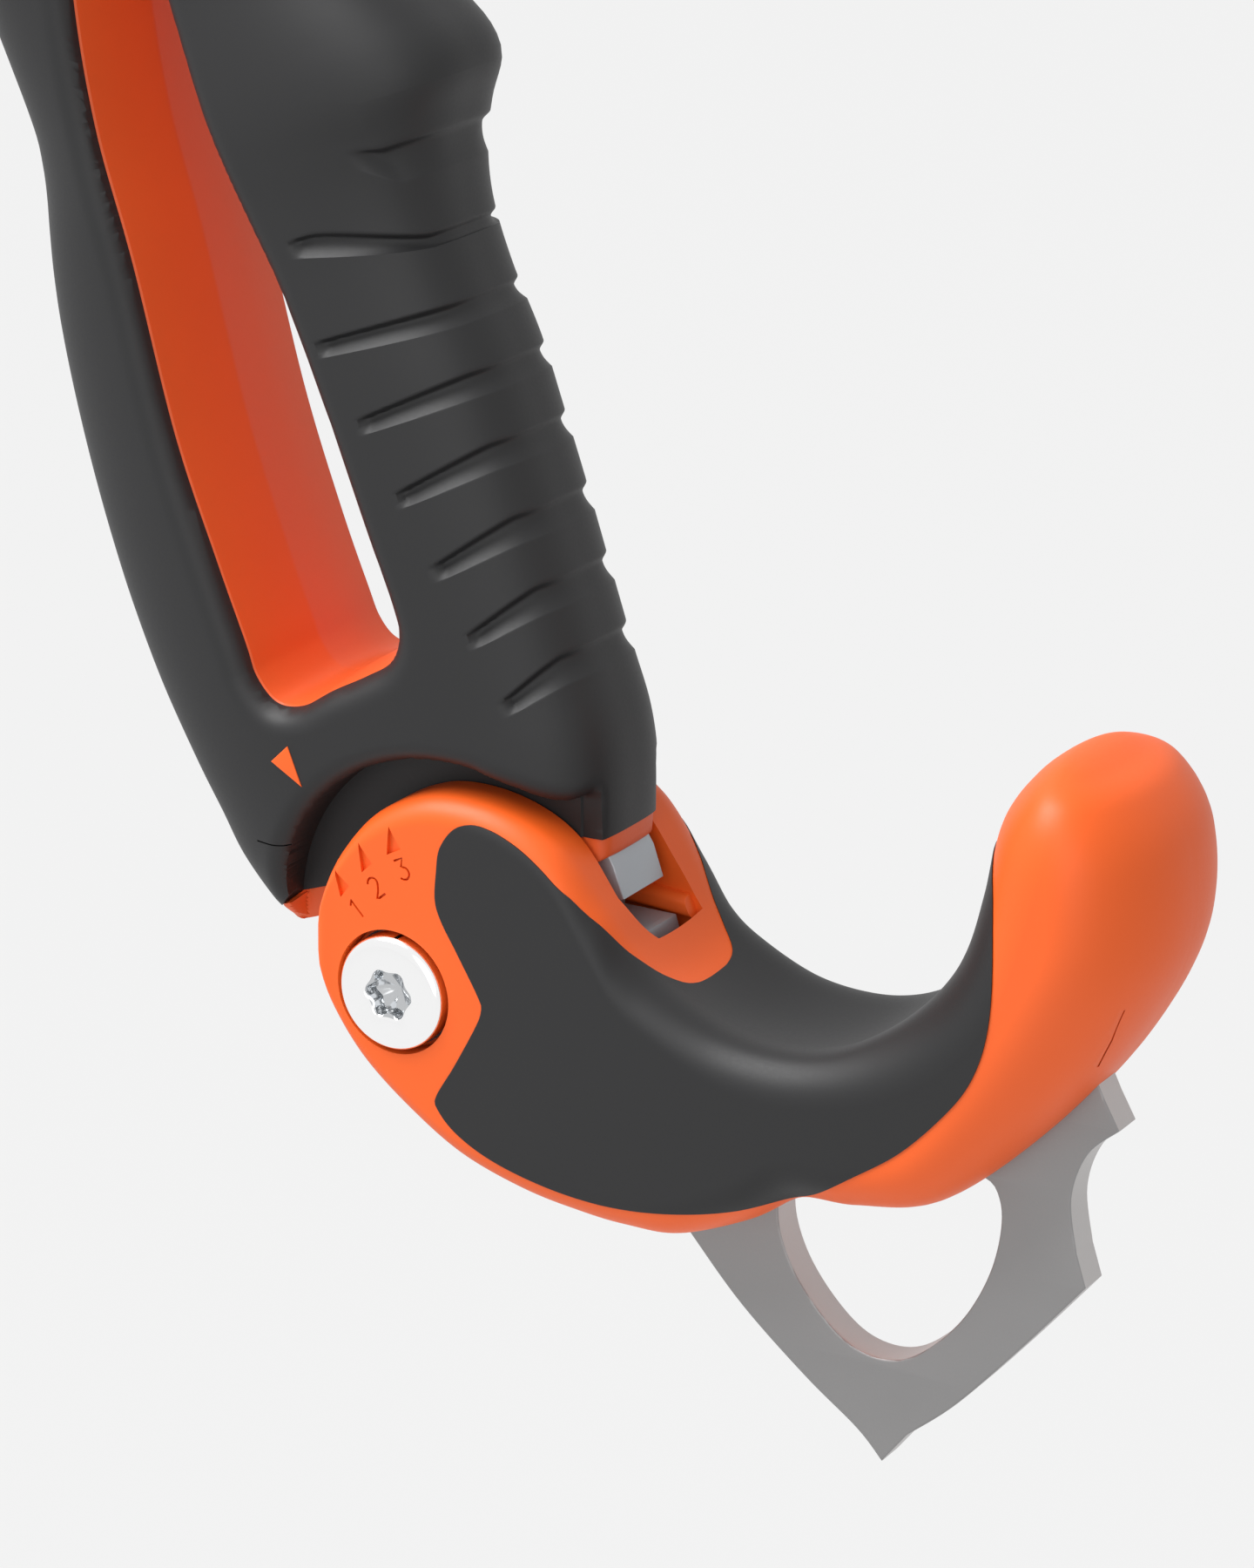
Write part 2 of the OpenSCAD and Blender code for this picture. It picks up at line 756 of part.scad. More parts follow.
module pick() {
    reach = (len(pick_belly) - 1) * toothed_share;
    belly = [for (i = [0 : pick_teeth - 1], cut = [0, 1])
        let (
            u = reach * (i + tooth_lean * cut) / pick_teeth,
            p = curve(pick_belly, u),
            q = curve(pick_belly, u + 0.01),
            along = (q - p) / norm(q - p),
            depth = cut * tooth_depth * min(1, (i + 1) / shallow_teeth)
        )
        p + [along[1], -along[0]] * depth];
    edge = concat(open_curve(pick_back, 4), belly,
        [pick_belly[len(pick_belly) - 1]], pick_tang);
    color("#8a8d90") at_origin() difference() {
        slab(pick_t) polygon(edge);
        for (at = pick_bolt_at) cross_bar(at, pick_bolt_d / 2, -cutter, cutter);
        for (at = weight_at) cross_bar(at, weight_screw_r, -cutter, cutter);
    }
}

module pick_bolts() {
    color("#b9bcc0") at_origin() for (at = pick_bolt_at) difference() {
        union() {
            cross_bar(at, pick_bolt_d / 2, -head_w / 2, head_w / 2 + pick_nut_t);
            cross_bar(at, pick_bolt_d / 2 + 2, -head_w / 2 - pick_bolt_head_t, -head_w / 2);
        }
        translate([at[0], -head_w / 2 - pick_bolt_head_t - 1, at[1]]) rotate([-90, 0, 0])
            cylinder(r = pick_socket_r, h = pick_bolt_head_t, $fn = 6);
    }
}

module pick_nuts() {
    color("#9a9ca0") at_origin() for (at = pick_bolt_at) difference() {
        translate([at[0], head_w / 2, at[1]]) rotate([-90, 0, 0])
            cylinder(r = pick_nut_r, h = pick_nut_t, $fn = 6);
        cross_bar(at, pick_bolt_d / 2, -cutter, cutter);
    }
}

module pick_weights() {
    color("#4c4f53") at_origin() for (side = [0, 1]) mirror([0, side, 0]) difference() {
        hull() for (at = weight_at) cross_bar(at, weight_r, pick_t / 2, pick_t / 2 + weight_t, 32);
        for (at = weight_at) cross_bar(at, weight_screw_r, -cutter, cutter);
    }
}

module weight_screws() {
    half = pick_t / 2 + weight_t;
    color("#b9bcc0") at_origin() for (at = weight_at) union() {
        cross_bar(at, weight_screw_r, -half, half);
        cross_bar(at, weight_screw_r + weight_screw_head, -half - weight_screw_head, -half);
        cross_bar(at, weight_screw_r + weight_screw_head, half, half + weight_screw_head);
    }
}

module hammer() {
    at = hammer_bolt_at;
    color("#84878b") at_origin() difference() {
        union() {
            slab(hammer_tongue_t) translate(hammer_tongue_at) square(hammer_tongue_size);
            translate([hammer_neck_x, 0, at[1]]) rotate([0, -90, 0])
                cylinder(r1 = hammer_r - 3, r2 = hammer_r, h = hammer_neck_x - hammer_face_x,
                    $fn = 64);
        }
        cross_bar(at, hammer_bolt_r, -cutter, cutter);
    }
}

module hammer_bolt() {
    at = hammer_bolt_at;
    color("#b9bcc0") at_origin() union() {
        cross_bar(at, hammer_bolt_r, -head_w / 2, head_w / 2);
        cross_bar(at, hammer_bolt_r + hammer_rivet_t, -head_w / 2 - hammer_rivet_t, -head_w / 2);
        cross_bar(at, hammer_bolt_r + hammer_rivet_t, head_w / 2, head_w / 2 + hammer_rivet_t);
    }
}

handle_core();
grip_overmould();
pointer_mark();
index_plate();
plate_pins();
pivot_sleeve();
thrust_washers();
shaft();
upper_grip();
head();
head_pins();
pick();
pick_bolts();
pick_nuts();
pick_weights();
weight_screws();
hammer();
hammer_bolt();
rest_body();
rest_pad();
spike_blade();
spike_pins();
clamp_nut();
clamp_washer();
clamp_screw();
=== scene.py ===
"""Ice climbing tool with an adjustable hand rest: looks and stage.

Sizes are in millimetres from the rest's pivot, x towards the horn, y away from the near side and
z up, and become metres in the part's own frame when a mesh is made.
"""

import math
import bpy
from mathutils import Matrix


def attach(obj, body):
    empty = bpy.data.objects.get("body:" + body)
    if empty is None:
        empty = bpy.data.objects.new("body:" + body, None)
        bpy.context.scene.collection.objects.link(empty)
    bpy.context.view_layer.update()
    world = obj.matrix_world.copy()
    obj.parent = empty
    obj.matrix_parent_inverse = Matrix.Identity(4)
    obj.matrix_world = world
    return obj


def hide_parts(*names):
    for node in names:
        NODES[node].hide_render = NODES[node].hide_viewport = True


bl_info = {
    "name": "Ice climbing tool",
    "version": (1, 0, 0),
    "blender": (4, 5, 0),
    "location": "View3D > Sidebar > Ice tool",
    "description": "Builds the handle, the adjustable rest, the spike, the shaft and the head",
    "category": "Object",
}

import bmesh
import bpy
import numpy as np
from mathutils import Vector

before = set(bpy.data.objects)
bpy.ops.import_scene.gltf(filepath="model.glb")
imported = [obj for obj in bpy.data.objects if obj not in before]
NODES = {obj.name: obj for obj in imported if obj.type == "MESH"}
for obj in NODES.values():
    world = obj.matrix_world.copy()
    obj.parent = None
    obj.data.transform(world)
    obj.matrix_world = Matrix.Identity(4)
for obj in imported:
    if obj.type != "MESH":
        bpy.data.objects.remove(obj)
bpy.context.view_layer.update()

# The rest's pivot in the part's frame, and the handle's lean
PIVOT = np.array([42.0, 0.0, -424.0])
HANDLE_TILT = math.radians(20.2)
# The handle's tongue between the cheeks, and the hollow on both its sides that they sweep
TONGUE_HALF = 5.8
SCOOP_AT = np.array([5.55, 4.55])
SCOOP_R = 21.75
HOLLOW_RIM = 2.2
# Round of the web between the cheeks, in front of the tongue
WEB_R = 28.3

# Saddle of the rest: top x, z, bottom x, z, half width, then across and up the rounding of the
# top corners and of the bottom corners, and the dish
REST_KEYS = np.array([
    [-9.95, 4.9, -9.95, 3.3, 10.4, 2.4, 0.7, 2.4, 0.7, 0],
    [-9.8, 7.2, -9.9, 1.0, 12.2, 2.8, 2.4, 2.8, 2.4, 0],
    [-9.1, 10.2, -9.35, -1.4, 13, 3, 3, 3, 3, 0],
    [-6.9, 14.7, -7.8, -5.0, 13, 3, 3, 3, 3, 0],
    [-2.6, 19.4, -4.3, -9.6, 13, 3, 3, 3, 3, 0],
    [4.2, 22.5, 0.95, -13.9, 13, 3, 3, 3, 3, 0],
    [12.1, 22.3, 7.6, -17.9, 13, 3, 3, 3, 3, 0],
    [18.9, 19.3, 15.3, -20.35, 13, 3.6, 3.6, 3.2, 3.2, 0],
    [23.9, 13.2, 22.2, -21.65, 13, 4.5, 4.5, 4, 4, 0.3],
    [27.3, 8.5, 27.6, -22.1, 13, 5.5, 5.0, 4.5, 4.5, 0.6],
    [31.1, 5.4, 33.6, -21.8, 13, 5.5, 4.4, 5, 5, 1.0],
    [38.0, 2.6, 41.4, -18.7, 13, 5.9, 4.8, 6, 5.5, 1.6],
    [45.0, 2.0, 47.3, -15.1, 13, 6.2, 5.0, 7, 6, 1.9],
    [51.3, 3.3, 54.3, -14.5, 13, 6.8, 5.4, 7.5, 6, 1.9],
    [57.0, 6.9, 62.9, -12.3, 13, 9.2, 6.8, 8, 6.5, 1.6],
    [61.6, 11.6, 71.9, -4.6, 13.1, 11.0, 7.8, 10, 8, 1.0],
    [64.6, 16.6, 80.7, 6.2, 13.8, 12.2, 8, 12.5, 9, 0.4],
    [66.6, 23.2, 86.15, 17.4, 14.6, 13, 8.5, 14, 9, 0],
    [67.8, 30.4, 86.3, 28.0, 14.3, 13.5, 9, 13.5, 9, 0],
    [70.6, 34.8, 82.7, 34.2, 11.9, 11.5, 6.0, 11.5, 6.0, 0],
    [73.3, 37.0, 78.5, 36.3, 7.2, 6.6, 2.4, 6.6, 2.4, 0],
    [75.1, 37.3, 76.4, 37.1, 2.4, 2.3, 0.6, 2.3, 0.6, 0],
])
# Pad's edge on the cheeks as x and z, and the bare patch round the window as x and y
PAD_EDGE = [
    [9.9, 20.75], [7.9, 19.9], [6.2, 17.5], [5.75, 14.8], [5.55, 11.6], [6.3, 9.3], [8.1, 6.3],
    [10.9, 1.5], [11.15, 0.1], [10.4, -1.9], [7.7, -6.9], [5.4, -10.8], [5.5, -12.2],
    [7.6, -14.4], [11.4, -16.4], [16.5, -17.85], [22.6, -18.75], [29.0, -18.7], [37.2, -17.4],
    [43.6, -15.6], [49.6, -13.0], [55.8, -8.8], [60.9, -5.1], [65.3, -0.6], [68.6, 3.8],
    [70.6, 8.7], [71.5, 14.4], [71.3, 20.7], [69.9, 26.0], [66.5, 28.5], [50.0, 34.0],
    [30.0, 34.0], [26.0, 16.5], [23.2, 14.2], [21.1, 15.1], [18.6, 17.25], [16.4, 18.8],
    [14.2, 19.9], [12.0, 20.6],
]
PATCH_EDGE = [
    [10.0, -12.2], [18.6, -12.25], [19.8, -12.4], [21.1, -12.4], [23.6, -11.4], [26.4, -9.55],
    [28.3, -8.05], [29.8, -6.7], [31.2, -5.0], [31.75, -3.4], [31.9, -1.5], [31.85, 1.5],
    [31.75, 3.2], [31.3, 4.9], [30.4, 6.2], [28.5, 7.6], [26.9, 8.6], [25.4, 9.6], [23.6, 10.9],
    [21.1, 12.3], [19.8, 12.4], [18.6, 12.25], [10.0, 12.2],
]
# Handle sections in its own frame: height, back, front, half width
HANDLE_KEYS = np.array([
    [8.1, -15.7, 26.5, 12.0], [12, -17.9, 28.2, 12.4], [17, -19.9, 29.9, 12.6],
    [22, -20.9, 30.8, 12.6], [28, -22.1, 30.9, 12.6], [37, -23.4, 31.2, 12.6],
    [46, -23.9, 31.5, 12.6], [54, -23.8, 31.6, 12.6], [62, -23.3, 31.6, 12.6],
    [70, -22.4, 30.8, 12.6], [77, -21.3, 30.9, 12.6], [82.5, -20.0, 32.2, 12.8],
    [87, -18.6, 34.4, 13.1], [90.7, -17.4, 37.0, 13.3], [94, -16.6, 37.0, 13.3],
    [98, -16.2, 35.0, 13.1], [107, -16.8, 29.4, 12.5], [120, -17.9, 23.6, 11.9],
    [135, -19.4, 17.8, 11.5], [150, -20.2, 13.8, 11.3], [165, -20.0, 11.6, 11.1],
])
# Heights where the overmould starts and where its end begins to round off
GRIP_FOOT = 10.3
GRIP_TOP = 163
# Window's outline on the near face and its crease at mid thickness, in the handle's frame
WINDOW_EDGE = np.array([
    [-6.75, 35.8], [-6.8, 39.6], [-7.1, 49.0], [-7.2, 62.9], [-5.5, 81.7], [-4.7, 95.8],
    [-2.2, 109.3], [2.0, 122.0], [6.0, 127.0], [9.6, 121.0], [10.1, 108.0], [10.5, 94.1],
    [11.4, 83.5], [12.7, 73.4], [13.35, 60.0], [13.65, 46.0], [13.85, 40.2], [13.4, 36.7],
    [11.2, 34.25], [7.3, 33.3], [2.6, 32.6], [-1.9, 31.7], [-5.2, 32.65],
])
WINDOW_CREASE = np.array([
    [-4.6, 36.2], [-4.85, 39.8], [-5.1, 49.0], [-4.8, 62.9], [-3.0, 81.7], [-2.1, 95.8],
    [0.3, 108.9], [3.4, 118.5], [6.0, 122.0], [8.0, 118.0], [8.2, 107.5], [8.6, 94.1],
    [9.5, 83.5], [10.7, 73.4], [10.9, 60.0], [11.3, 46.0], [11.5, 40.0], [11.2, 36.8],
    [9.6, 35.0], [6.4, 34.1], [2.6, 33.5], [-1.2, 32.8], [-3.4, 33.7],
])
# Share of the way to the crease that the overmould's room takes on the far half
FAR_SHARE = 0.9
# Lower edges of the eight grooves: left end x, z, then height at the front
GROOVES = np.array([
    [23.7, 25.9, 27.45], [22.3, 33.6, 35.1], [20.9, 41.4, 42.8], [19.5, 49.7, 50.8],
    [17.9, 58.1, 58.5], [15.9, 66.9, 66.0], [16.6, 77.5, 74.4], [26.3, 84.8, 81.75],
])
FRONT_X = 29.6
# Thin slit at the handle's rear corner and the seam on the horn, as x and z
SLIT = [[-18.5, 12.9], [-14.5, 13.05], [-14.5, 13.2], [-18.5, 13.1]]
SEAM = [[79.7, 6.2], [81.5, 9.7], [83.2, 13.6], [83.28, 13.56], [81.6, 9.65], [79.8, 6.15]]

# Centre line of the shaft
SHAFT_KEYS = [[-50.5, 125], [-60.5, 153], [-70, 190], [-75, 235], [-72.5, 285], [-63, 335],
              [-47, 382], [-36, 406]]
# Spike's outline from corner to corner, the last stretch inside the rest, and its clip hole
SPIKE_OUTER = [
    [[23.5, -17.4], [30.4, -25.5], [36.7, -32.3], [44.45, -38.75], [50.75, -43.25], [53.8, -46.35]],
    [[56.8, -42.5], [62.5, -37.5], [70.1, -29.0], [77.1, -20.6]],
    [[75.95, -17], [75.15, -11], [76.8, -5.8], [80.3, -2.4]],
    [[78.6, 0.6], [77.0, 4.2], [76.4, 8.0]],
    [[72.0, 4.6], [65.0, -3.6], [56.0, -8.0], [40.0, -12.0], [30.0, -13.4]],
]
CLIP_EDGE = [
    [41.0, -20.4], [42.45, -25.7], [45.85, -30.45], [50.0, -33.7], [54.6, -34.25], [58.7, -32.15],
    [63.35, -27], [66.5, -20], [67.0, -13.2], [63.4, -10.8], [50.0, -13.4], [42.2, -15.0],
]
SPIKE_TIP_DOWN = 46.4
SPIKE_PINS = [(34.0, -17.2), (68.0, -4.6)]
SPIKE_PIN_R = 2.0
SPIKE_PIN_HALF = 6.2
SCREW_HEAD_R = 6.4

# Camera that took the photograph: place, degrees round and up, and focal length
CAMERA_AT = np.array([294.13, -457.76, 215.28])
CAMERA_ROUND = 30.8
CAMERA_UP = 19.8
CAMERA_LENS = 124.0
# Lamps: name, offset from the rest and diameter in metres, and watts
LAMPS = [("top lamp", (-0.55, -0.45, 1.0), 0.9, 19.5), ("front lamp", (0.5, -1.2, 0.3), 1.2, 3.8)]
WORLD_LIGHT = 0.54
PAPER = "#f3f3f3"
FLOOR_HALF = 6.0


# Curves and surfaces


def rows(keys, u):
    """Rows of a table at u by the cubic 0.5(2b + (c-a)t + (2a-5b+4c-d)t2 + (3b-a-3c+d)t3)."""
    k = np.asarray(keys, float)
    i = np.clip(np.floor(u).astype(int), 0, len(k) - 2)
    t = (u - i)[..., None]
    a, b, c, d = (k[np.clip(i + o, 0, len(k) - 1)] for o in (-1, 0, 1, 2))
    return 0.5 * (2 * b + (c - a) * t + (2 * a - 5 * b + 4 * c - d) * t**2
                  + (3 * b - a - 3 * c + d) * t**3)


def loop(corners, steps):
    """Closed curve through the corners by the same cubic, with steps points for each."""
    k = np.asarray(corners, float)
    n = len(k)
    u = np.arange(n * steps) / steps
    i = np.floor(u).astype(int)
    t = (u - i)[:, None]
    a, b, c, d = (k[(i + o) % n] for o in (-1, 0, 1, 2))
    return 0.5 * (2 * b + (c - a) * t + (2 * a - 5 * b + 4 * c - d) * t**2
                  + (3 * b - a - 3 * c + d) * t**3)


def line(corners, steps):
    """Open curve through the corners, steps points for each gap."""
    return rows(corners, np.linspace(0, len(corners) - 1, steps * (len(corners) - 1) + 1))


def power(v, p):
    """Sign of v times |v| to the power p."""
    return np.sign(v) * np.abs(v) ** p


def step(v, low, high):
    """Smooth step 3t2 - 2t3 from low to high."""
    t = np.clip((v - low) / (high - low), 0, 1)
    return t * t * (3 - 2 * t)


def leaned(p):
    """Points of the handle's frame turned back by its lean about y."""
    c, s = math.cos(HANDLE_TILT), math.sin(HANDLE_TILT)
    return np.stack([p[..., 0] * c - p[..., 2] * s, p[..., 1], p[..., 0] * s + p[..., 2] * c], -1)


def upright(p):
    """The opposite turn, into the handle's frame."""
    c, s = math.cos(HANDLE_TILT), math.sin(HANDLE_TILT)
    return np.stack([p[..., 0] * c + p[..., 2] * s, p[..., 1], -p[..., 0] * s + p[..., 2] * c], -1)


def edge_distance(points, outline):
    """Signed distance to a closed outline, positive outside: the least distance to its sides,
    with the sign from the count of sides that a ray to the right crosses."""
    p = points.reshape(-1, 2)
    a = np.asarray(outline, float)
    b = np.roll(a, -1, 0)
    best = np.full(len(p), 1e9)
    odd = np.zeros(len(p), bool)
    for (ax, az), (bx, bz) in zip(a, b):
        ex, ez = bx - ax, bz - az
        t = np.clip(((p[:, 0] - ax) * ex + (p[:, 1] - az) * ez) / (ex * ex + ez * ez + 1e-12), 0, 1)
        best = np.minimum(best, np.hypot(p[:, 0] - ax - t * ex, p[:, 1] - az - t * ez))
        cross = (az > p[:, 1]) != (bz > p[:, 1])
        odd ^= cross & (p[:, 0] < ax + ex * (p[:, 1] - az) / (ez if abs(ez) > 1e-12 else 1e-12))
    return np.where(odd, -best, best).reshape(points.shape[:-1])


def even(path, count, closed=False):
    """The same polyline with count points at even steps of its length."""
    p = np.vstack([path, path[:1]]) if closed else path
    s = np.concatenate([[0], np.cumsum(np.linalg.norm(np.diff(p, axis=0), axis=1))])
    t = np.linspace(0, s[-1], count + 1)[:-1] if closed else np.linspace(0, s[-1], count)
    return np.stack([np.interp(t, s, p[:, k]) for k in range(p.shape[1])], -1)


def grid_faces(m, n, wrap_m, wrap_n):
    """Quads of an m by n grid of points, as rows of four numbers."""
    i = np.arange(m if wrap_m else m - 1)[:, None]
    j = np.arange(n if wrap_n else n - 1)[None, :]
    i2, j2 = (i + 1) % m, (j + 1) % n
    return np.stack([i * n + j, i * n + j2, i2 * n + j2, i2 * n + j], -1).reshape(-1, 4)


def normals(p, wrap_n=True):
    """Unit normals of a grid of points: the cross product of its two central differences."""
    du = np.gradient(p, axis=0)
    dv = (np.roll(p, -1, 1) - np.roll(p, 1, 1)) / 2 if wrap_n else np.gradient(p, axis=1)
    n = np.cross(du, dv)
    return n / np.maximum(np.linalg.norm(n, axis=-1, keepdims=True), 1e-12)


def new_object(name, mesh):
    """Object at the origin, its name with underscores for spaces."""
    obj = bpy.data.objects.new(name.replace(" ", "_"), mesh)
    bpy.context.scene.collection.objects.link(obj)
    return obj


def finished(obj, sharp=35):
    """Normals outwards, smooth faces, and sharp edges past an angle."""
    bm = bmesh.new()
    bm.from_mesh(obj.data)
    bmesh.ops.remove_doubles(bm, verts=bm.verts, dist=2e-7)
    bmesh.ops.dissolve_degenerate(bm, edges=bm.edges, dist=1e-7)
    bmesh.ops.recalc_face_normals(bm, faces=bm.faces)
    bm.to_mesh(obj.data)
    bm.free()
    obj.data.shade_smooth()
    obj.data.set_sharp_from_angle(angle=math.radians(sharp))
    return obj


def solid(name, p, wrap_m=False, sharp=35, caps=True):
    """Closed body from a grid of points that goes round in its second direction."""
    m, n = p.shape[:2]
    faces = grid_faces(m, n, wrap_m, True).tolist()
    if caps and not wrap_m:
        faces += [list(range(n)), list(range((m - 1) * n, m * n))]
    mesh = bpy.data.meshes.new(name)
    mesh.from_pydata(((p.reshape(-1, 3) + PIVOT) * 0.001).tolist(), [], faces)
    return finished(new_object(name, mesh), sharp)


def prism(name, outline, low, high):
    """Outline in x and z carried along y from low to high."""
    o = np.asarray(outline, float)
    return solid(name, np.stack([np.insert(o, 1, y, axis=1) for y in (low, high)]))


def baked(obj):
    """The object's mesh with its modifiers worked in."""
    graph = bpy.context.evaluated_depsgraph_get()
    mesh = bpy.data.meshes.new_from_object(obj.evaluated_get(graph))
    obj.modifiers.clear()
    old = obj.data
    obj.data = mesh
    bpy.data.meshes.remove(old)
    return obj


def carved(obj, cutters, way="DIFFERENCE", sharp=35):
    """The body less its cutters, or joined with them."""
    for cutter in cutters:
        m = obj.modifiers.new("cut", "BOOLEAN")
        m.operation, m.solver, m.object = way, "EXACT", cutter
    baked(obj)
    for cutter in cutters:
        bpy.data.objects.remove(cutter)
    if not obj.data.polygons:
        raise RuntimeError(f"nothing is left of {obj.name} after its cut")
    return finished(obj, sharp)


def plate(name, loops, half, bevel=0.25, at_y=0.0, sharp=30):
    """Flat profile with round-edged faces: a filled curve with depth and bevel, made a mesh."""
    data = bpy.data.curves.new(name, "CURVE")
    data.dimensions, data.fill_mode = "2D", "BOTH"
    data.extrude, data.bevel_depth = (half - bevel) * 0.001, bevel * 0.001
    data.offset, data.bevel_resolution = -bevel * 0.001, 2
    for pts in loops:
        s = data.splines.new("POLY")
        s.points.add(len(pts) - 1)
        s.points.foreach_set("co", np.c_[np.asarray(pts) * 0.001, np.zeros(len(pts)),
                                         np.ones(len(pts))].ravel())
        s.use_cyclic_u = True
    obj = new_object(name, data)
    graph = bpy.context.evaluated_depsgraph_get()
    mesh = bpy.data.meshes.new_from_object(obj.evaluated_get(graph))
    bpy.data.objects.remove(obj)
    v = np.empty(len(mesh.vertices) * 3)
    mesh.vertices.foreach_get("co", v)
    v = v.reshape(-1, 3)
    v = np.stack([v[:, 0], v[:, 2] + at_y * 0.001, v[:, 1]], -1) + PIVOT * 0.001
    mesh.vertices.foreach_set("co", v.ravel())
    return finished(new_object(name, mesh), sharp)


def tube(at, profile, sides=64, wave=None):
    """Surface of revolution about y: profile rows are y and radius; wave(angle, row) scales."""
    a = np.linspace(0, 2 * math.pi, sides, endpoint=False)
    pr = np.asarray(profile, float)
    r = pr[:, 1][:, None] * np.ones(sides)
    if wave is not None:
        r = wave(a[None, :], r, np.arange(len(pr))[:, None])
    y = pr[:, 0][:, None] * np.ones(sides)
    return np.stack([at[0] + r * np.cos(a), y, at[1] + r * np.sin(a)], -1)


# Handle

_u = np.linspace(0, len(HANDLE_KEYS) - 1, 2400)
HANDLE_TABLE = rows(HANDLE_KEYS, _u)


def handle_at(z):
    """Back, front and half width of the handle at heights z."""
    t = HANDLE_TABLE
    return [np.interp(z, t[:, 0], t[:, k]) for k in (1, 2, 3)]


def section_angles(count):
    """Angles that step evenly along a superellipse of the handle's proportions."""
    a = np.linspace(0, 2 * math.pi, 20001)
    p = np.stack([26 * power(np.cos(a), 2 / 3), 12.6 * power(np.sin(a), 2 / 3)], -1)
    s = np.concatenate([[0], np.cumsum(np.linalg.norm(np.diff(p, axis=0), axis=1))])
    return np.interp(np.linspace(0, s[-1], count + 1)[:-1], s, a)


def handle_surface(v, a, inset=0.0, follow=True):
    """Oval section |x/d|^3 + |y/w|^3 = 1 at height z, which leans with the grooves' lines."""
    v, a = v[:, None], a[None, :]
    z = v + 0 * a
    for _ in range(3):
        back, front, w = handle_at(z)
        mid, d = (back + front) / 2, (front - back) / 2 - inset
        x = mid + d * power(np.cos(a), 2 / 3)
        if follow:
            g = GROOVES
            left = np.interp(v, g[:, 1], g[:, 0])
            lean = (g[:, 2] - g[:, 1]) / (FRONT_X - g[:, 0])
            m = np.interp(v, [17, *g[:, 1], 98], [0, *lean, 0])
            soft = np.logaddexp(0, (x - left) * 1.5) / 1.5
            low = 2.5 * step(x, back + 1, back + 8) * step(-x, 1 - front, 6 - front)
            z = v + m * np.minimum(soft, FRONT_X - left) + low * np.exp(-(v - GRIP_FOOT) / 2.5)
    return np.stack([x, (w - inset) * power(np.sin(a), 2 / 3), z], -1)


def scoop_outline():
    """Round of the cheek's sweep, then level to beyond the handle's front."""
    a = np.radians(np.linspace(250, 80, 70))
    arc = SCOOP_AT + SCOOP_R * np.stack([np.cos(a), np.sin(a)], -1)
    tail = line([[10.2, 25.6], [14.0, 24.6], [17.5, 23.6], [20.0, 23.4], [22.0, 24.2],
                 [24.0, 26.4], [27.0, 31.0]], 8)
    return np.vstack([arc, tail[1:], [[27.0, -16.0], [0, -16.0]]])


def hollow_depth(x, z, floor, r=1.6):
    """Half thickness of the tongue: the floor, turned inwards by a quarter round near the handle's
    front and rear."""
    h = upright(np.stack([x, 0 * x, z], -1))
    back, front, wide = handle_at(np.clip(h[..., 2], 8.1, 60))
    d = (front - back) / 2 * (1 - ((floor - r) / wide) ** 3) ** (1 / 3)
    f = np.clip(1 - (d - np.abs(h[..., 0] - (front + back) / 2)) / r, 0, 1) ** 1.5
    return floor - r * (1 - np.sqrt(1 - f * f))


def scoop_cutter(name, side, floor):
    """Cutter over one side hollow, down to the tongue."""
    o = even(scoop_outline(), 440, closed=True)
    t = np.concatenate([np.linspace(0, 0.4, 8)[1:], np.linspace(0.4, 1, 64)[1:]])[:, None, None]
    mid = np.array([14.0, 6.0])
    q = mid + t * (o - mid)[None]
    low = np.stack([q[..., 0], side * hollow_depth(q[..., 0], q[..., 1], floor), q[..., 1]], -1)
    high = low[::-1].copy()
    high[..., 1] = side * 30
    return solid(name, np.concatenate([low, high]))


def groove_depth(v, x, y):
    """Hollow above each lower edge: it deepens as a quarter sine over 0.72 of its width and
    closes as half a cosine wave over the rest, less deep across the handle's front."""
    out = np.zeros(np.broadcast(v, x).shape)
    for left, low, _ in GROOVES:
        along = np.clip((x - left) / (FRONT_X - left), 0, 1)
        blunt = 0.8 if left < 26 else 2.6
        t = np.clip((v - low) / (1.9 + 1.4 * along), 0, 1)
        shape = np.where(t < 0.72, np.sin(math.pi * t / 1.44),
                         0.5 + 0.5 * np.cos(math.pi * (t - 0.72) / 0.28))
        depth = 0.9 * (0.45 + 0.55 * step(np.abs(y), 3.0, 9.0))
        out = np.maximum(out, depth * step(x, left - 0.1, left + blunt) * shape)
    return out


def quarter(d, r):
    """Drop of a quarter round of radius r at distance d from the edge."""
    return r * (1 - np.sqrt(1 - np.clip(1 - d / r, 0, 1) ** 2))


def beside_tongue(y):
    """Share that is 0 on the tongue and 1 beside it."""
    return step(np.abs(y), 5.4, 6.6)


def grip_rows():
    """Heights of the rings, close above each groove's lower edge and coarser between."""
    fine = np.array([-0.14, 0, 0.08, *np.arange(0.2, 3.4, 0.16), 3.6, 4.2])
    v = [np.arange(GRIP_FOOT, 25.6, 0.45)]
    for i, low in enumerate(GROOVES[:, 1]):
        v.append(low + fine)
        end = GROOVES[i + 1, 1] - 0.4 if i < len(GROOVES) - 1 else 92
        v.append(np.arange(low + 4.75, end, 0.6))
    v.append(np.arange(92, GRIP_TOP, 1.0))
    v.append(GRIP_TOP + 2 * np.sin(np.linspace(0, math.pi / 2, 7)))
    return np.unique(np.round(np.concatenate(v), 4))


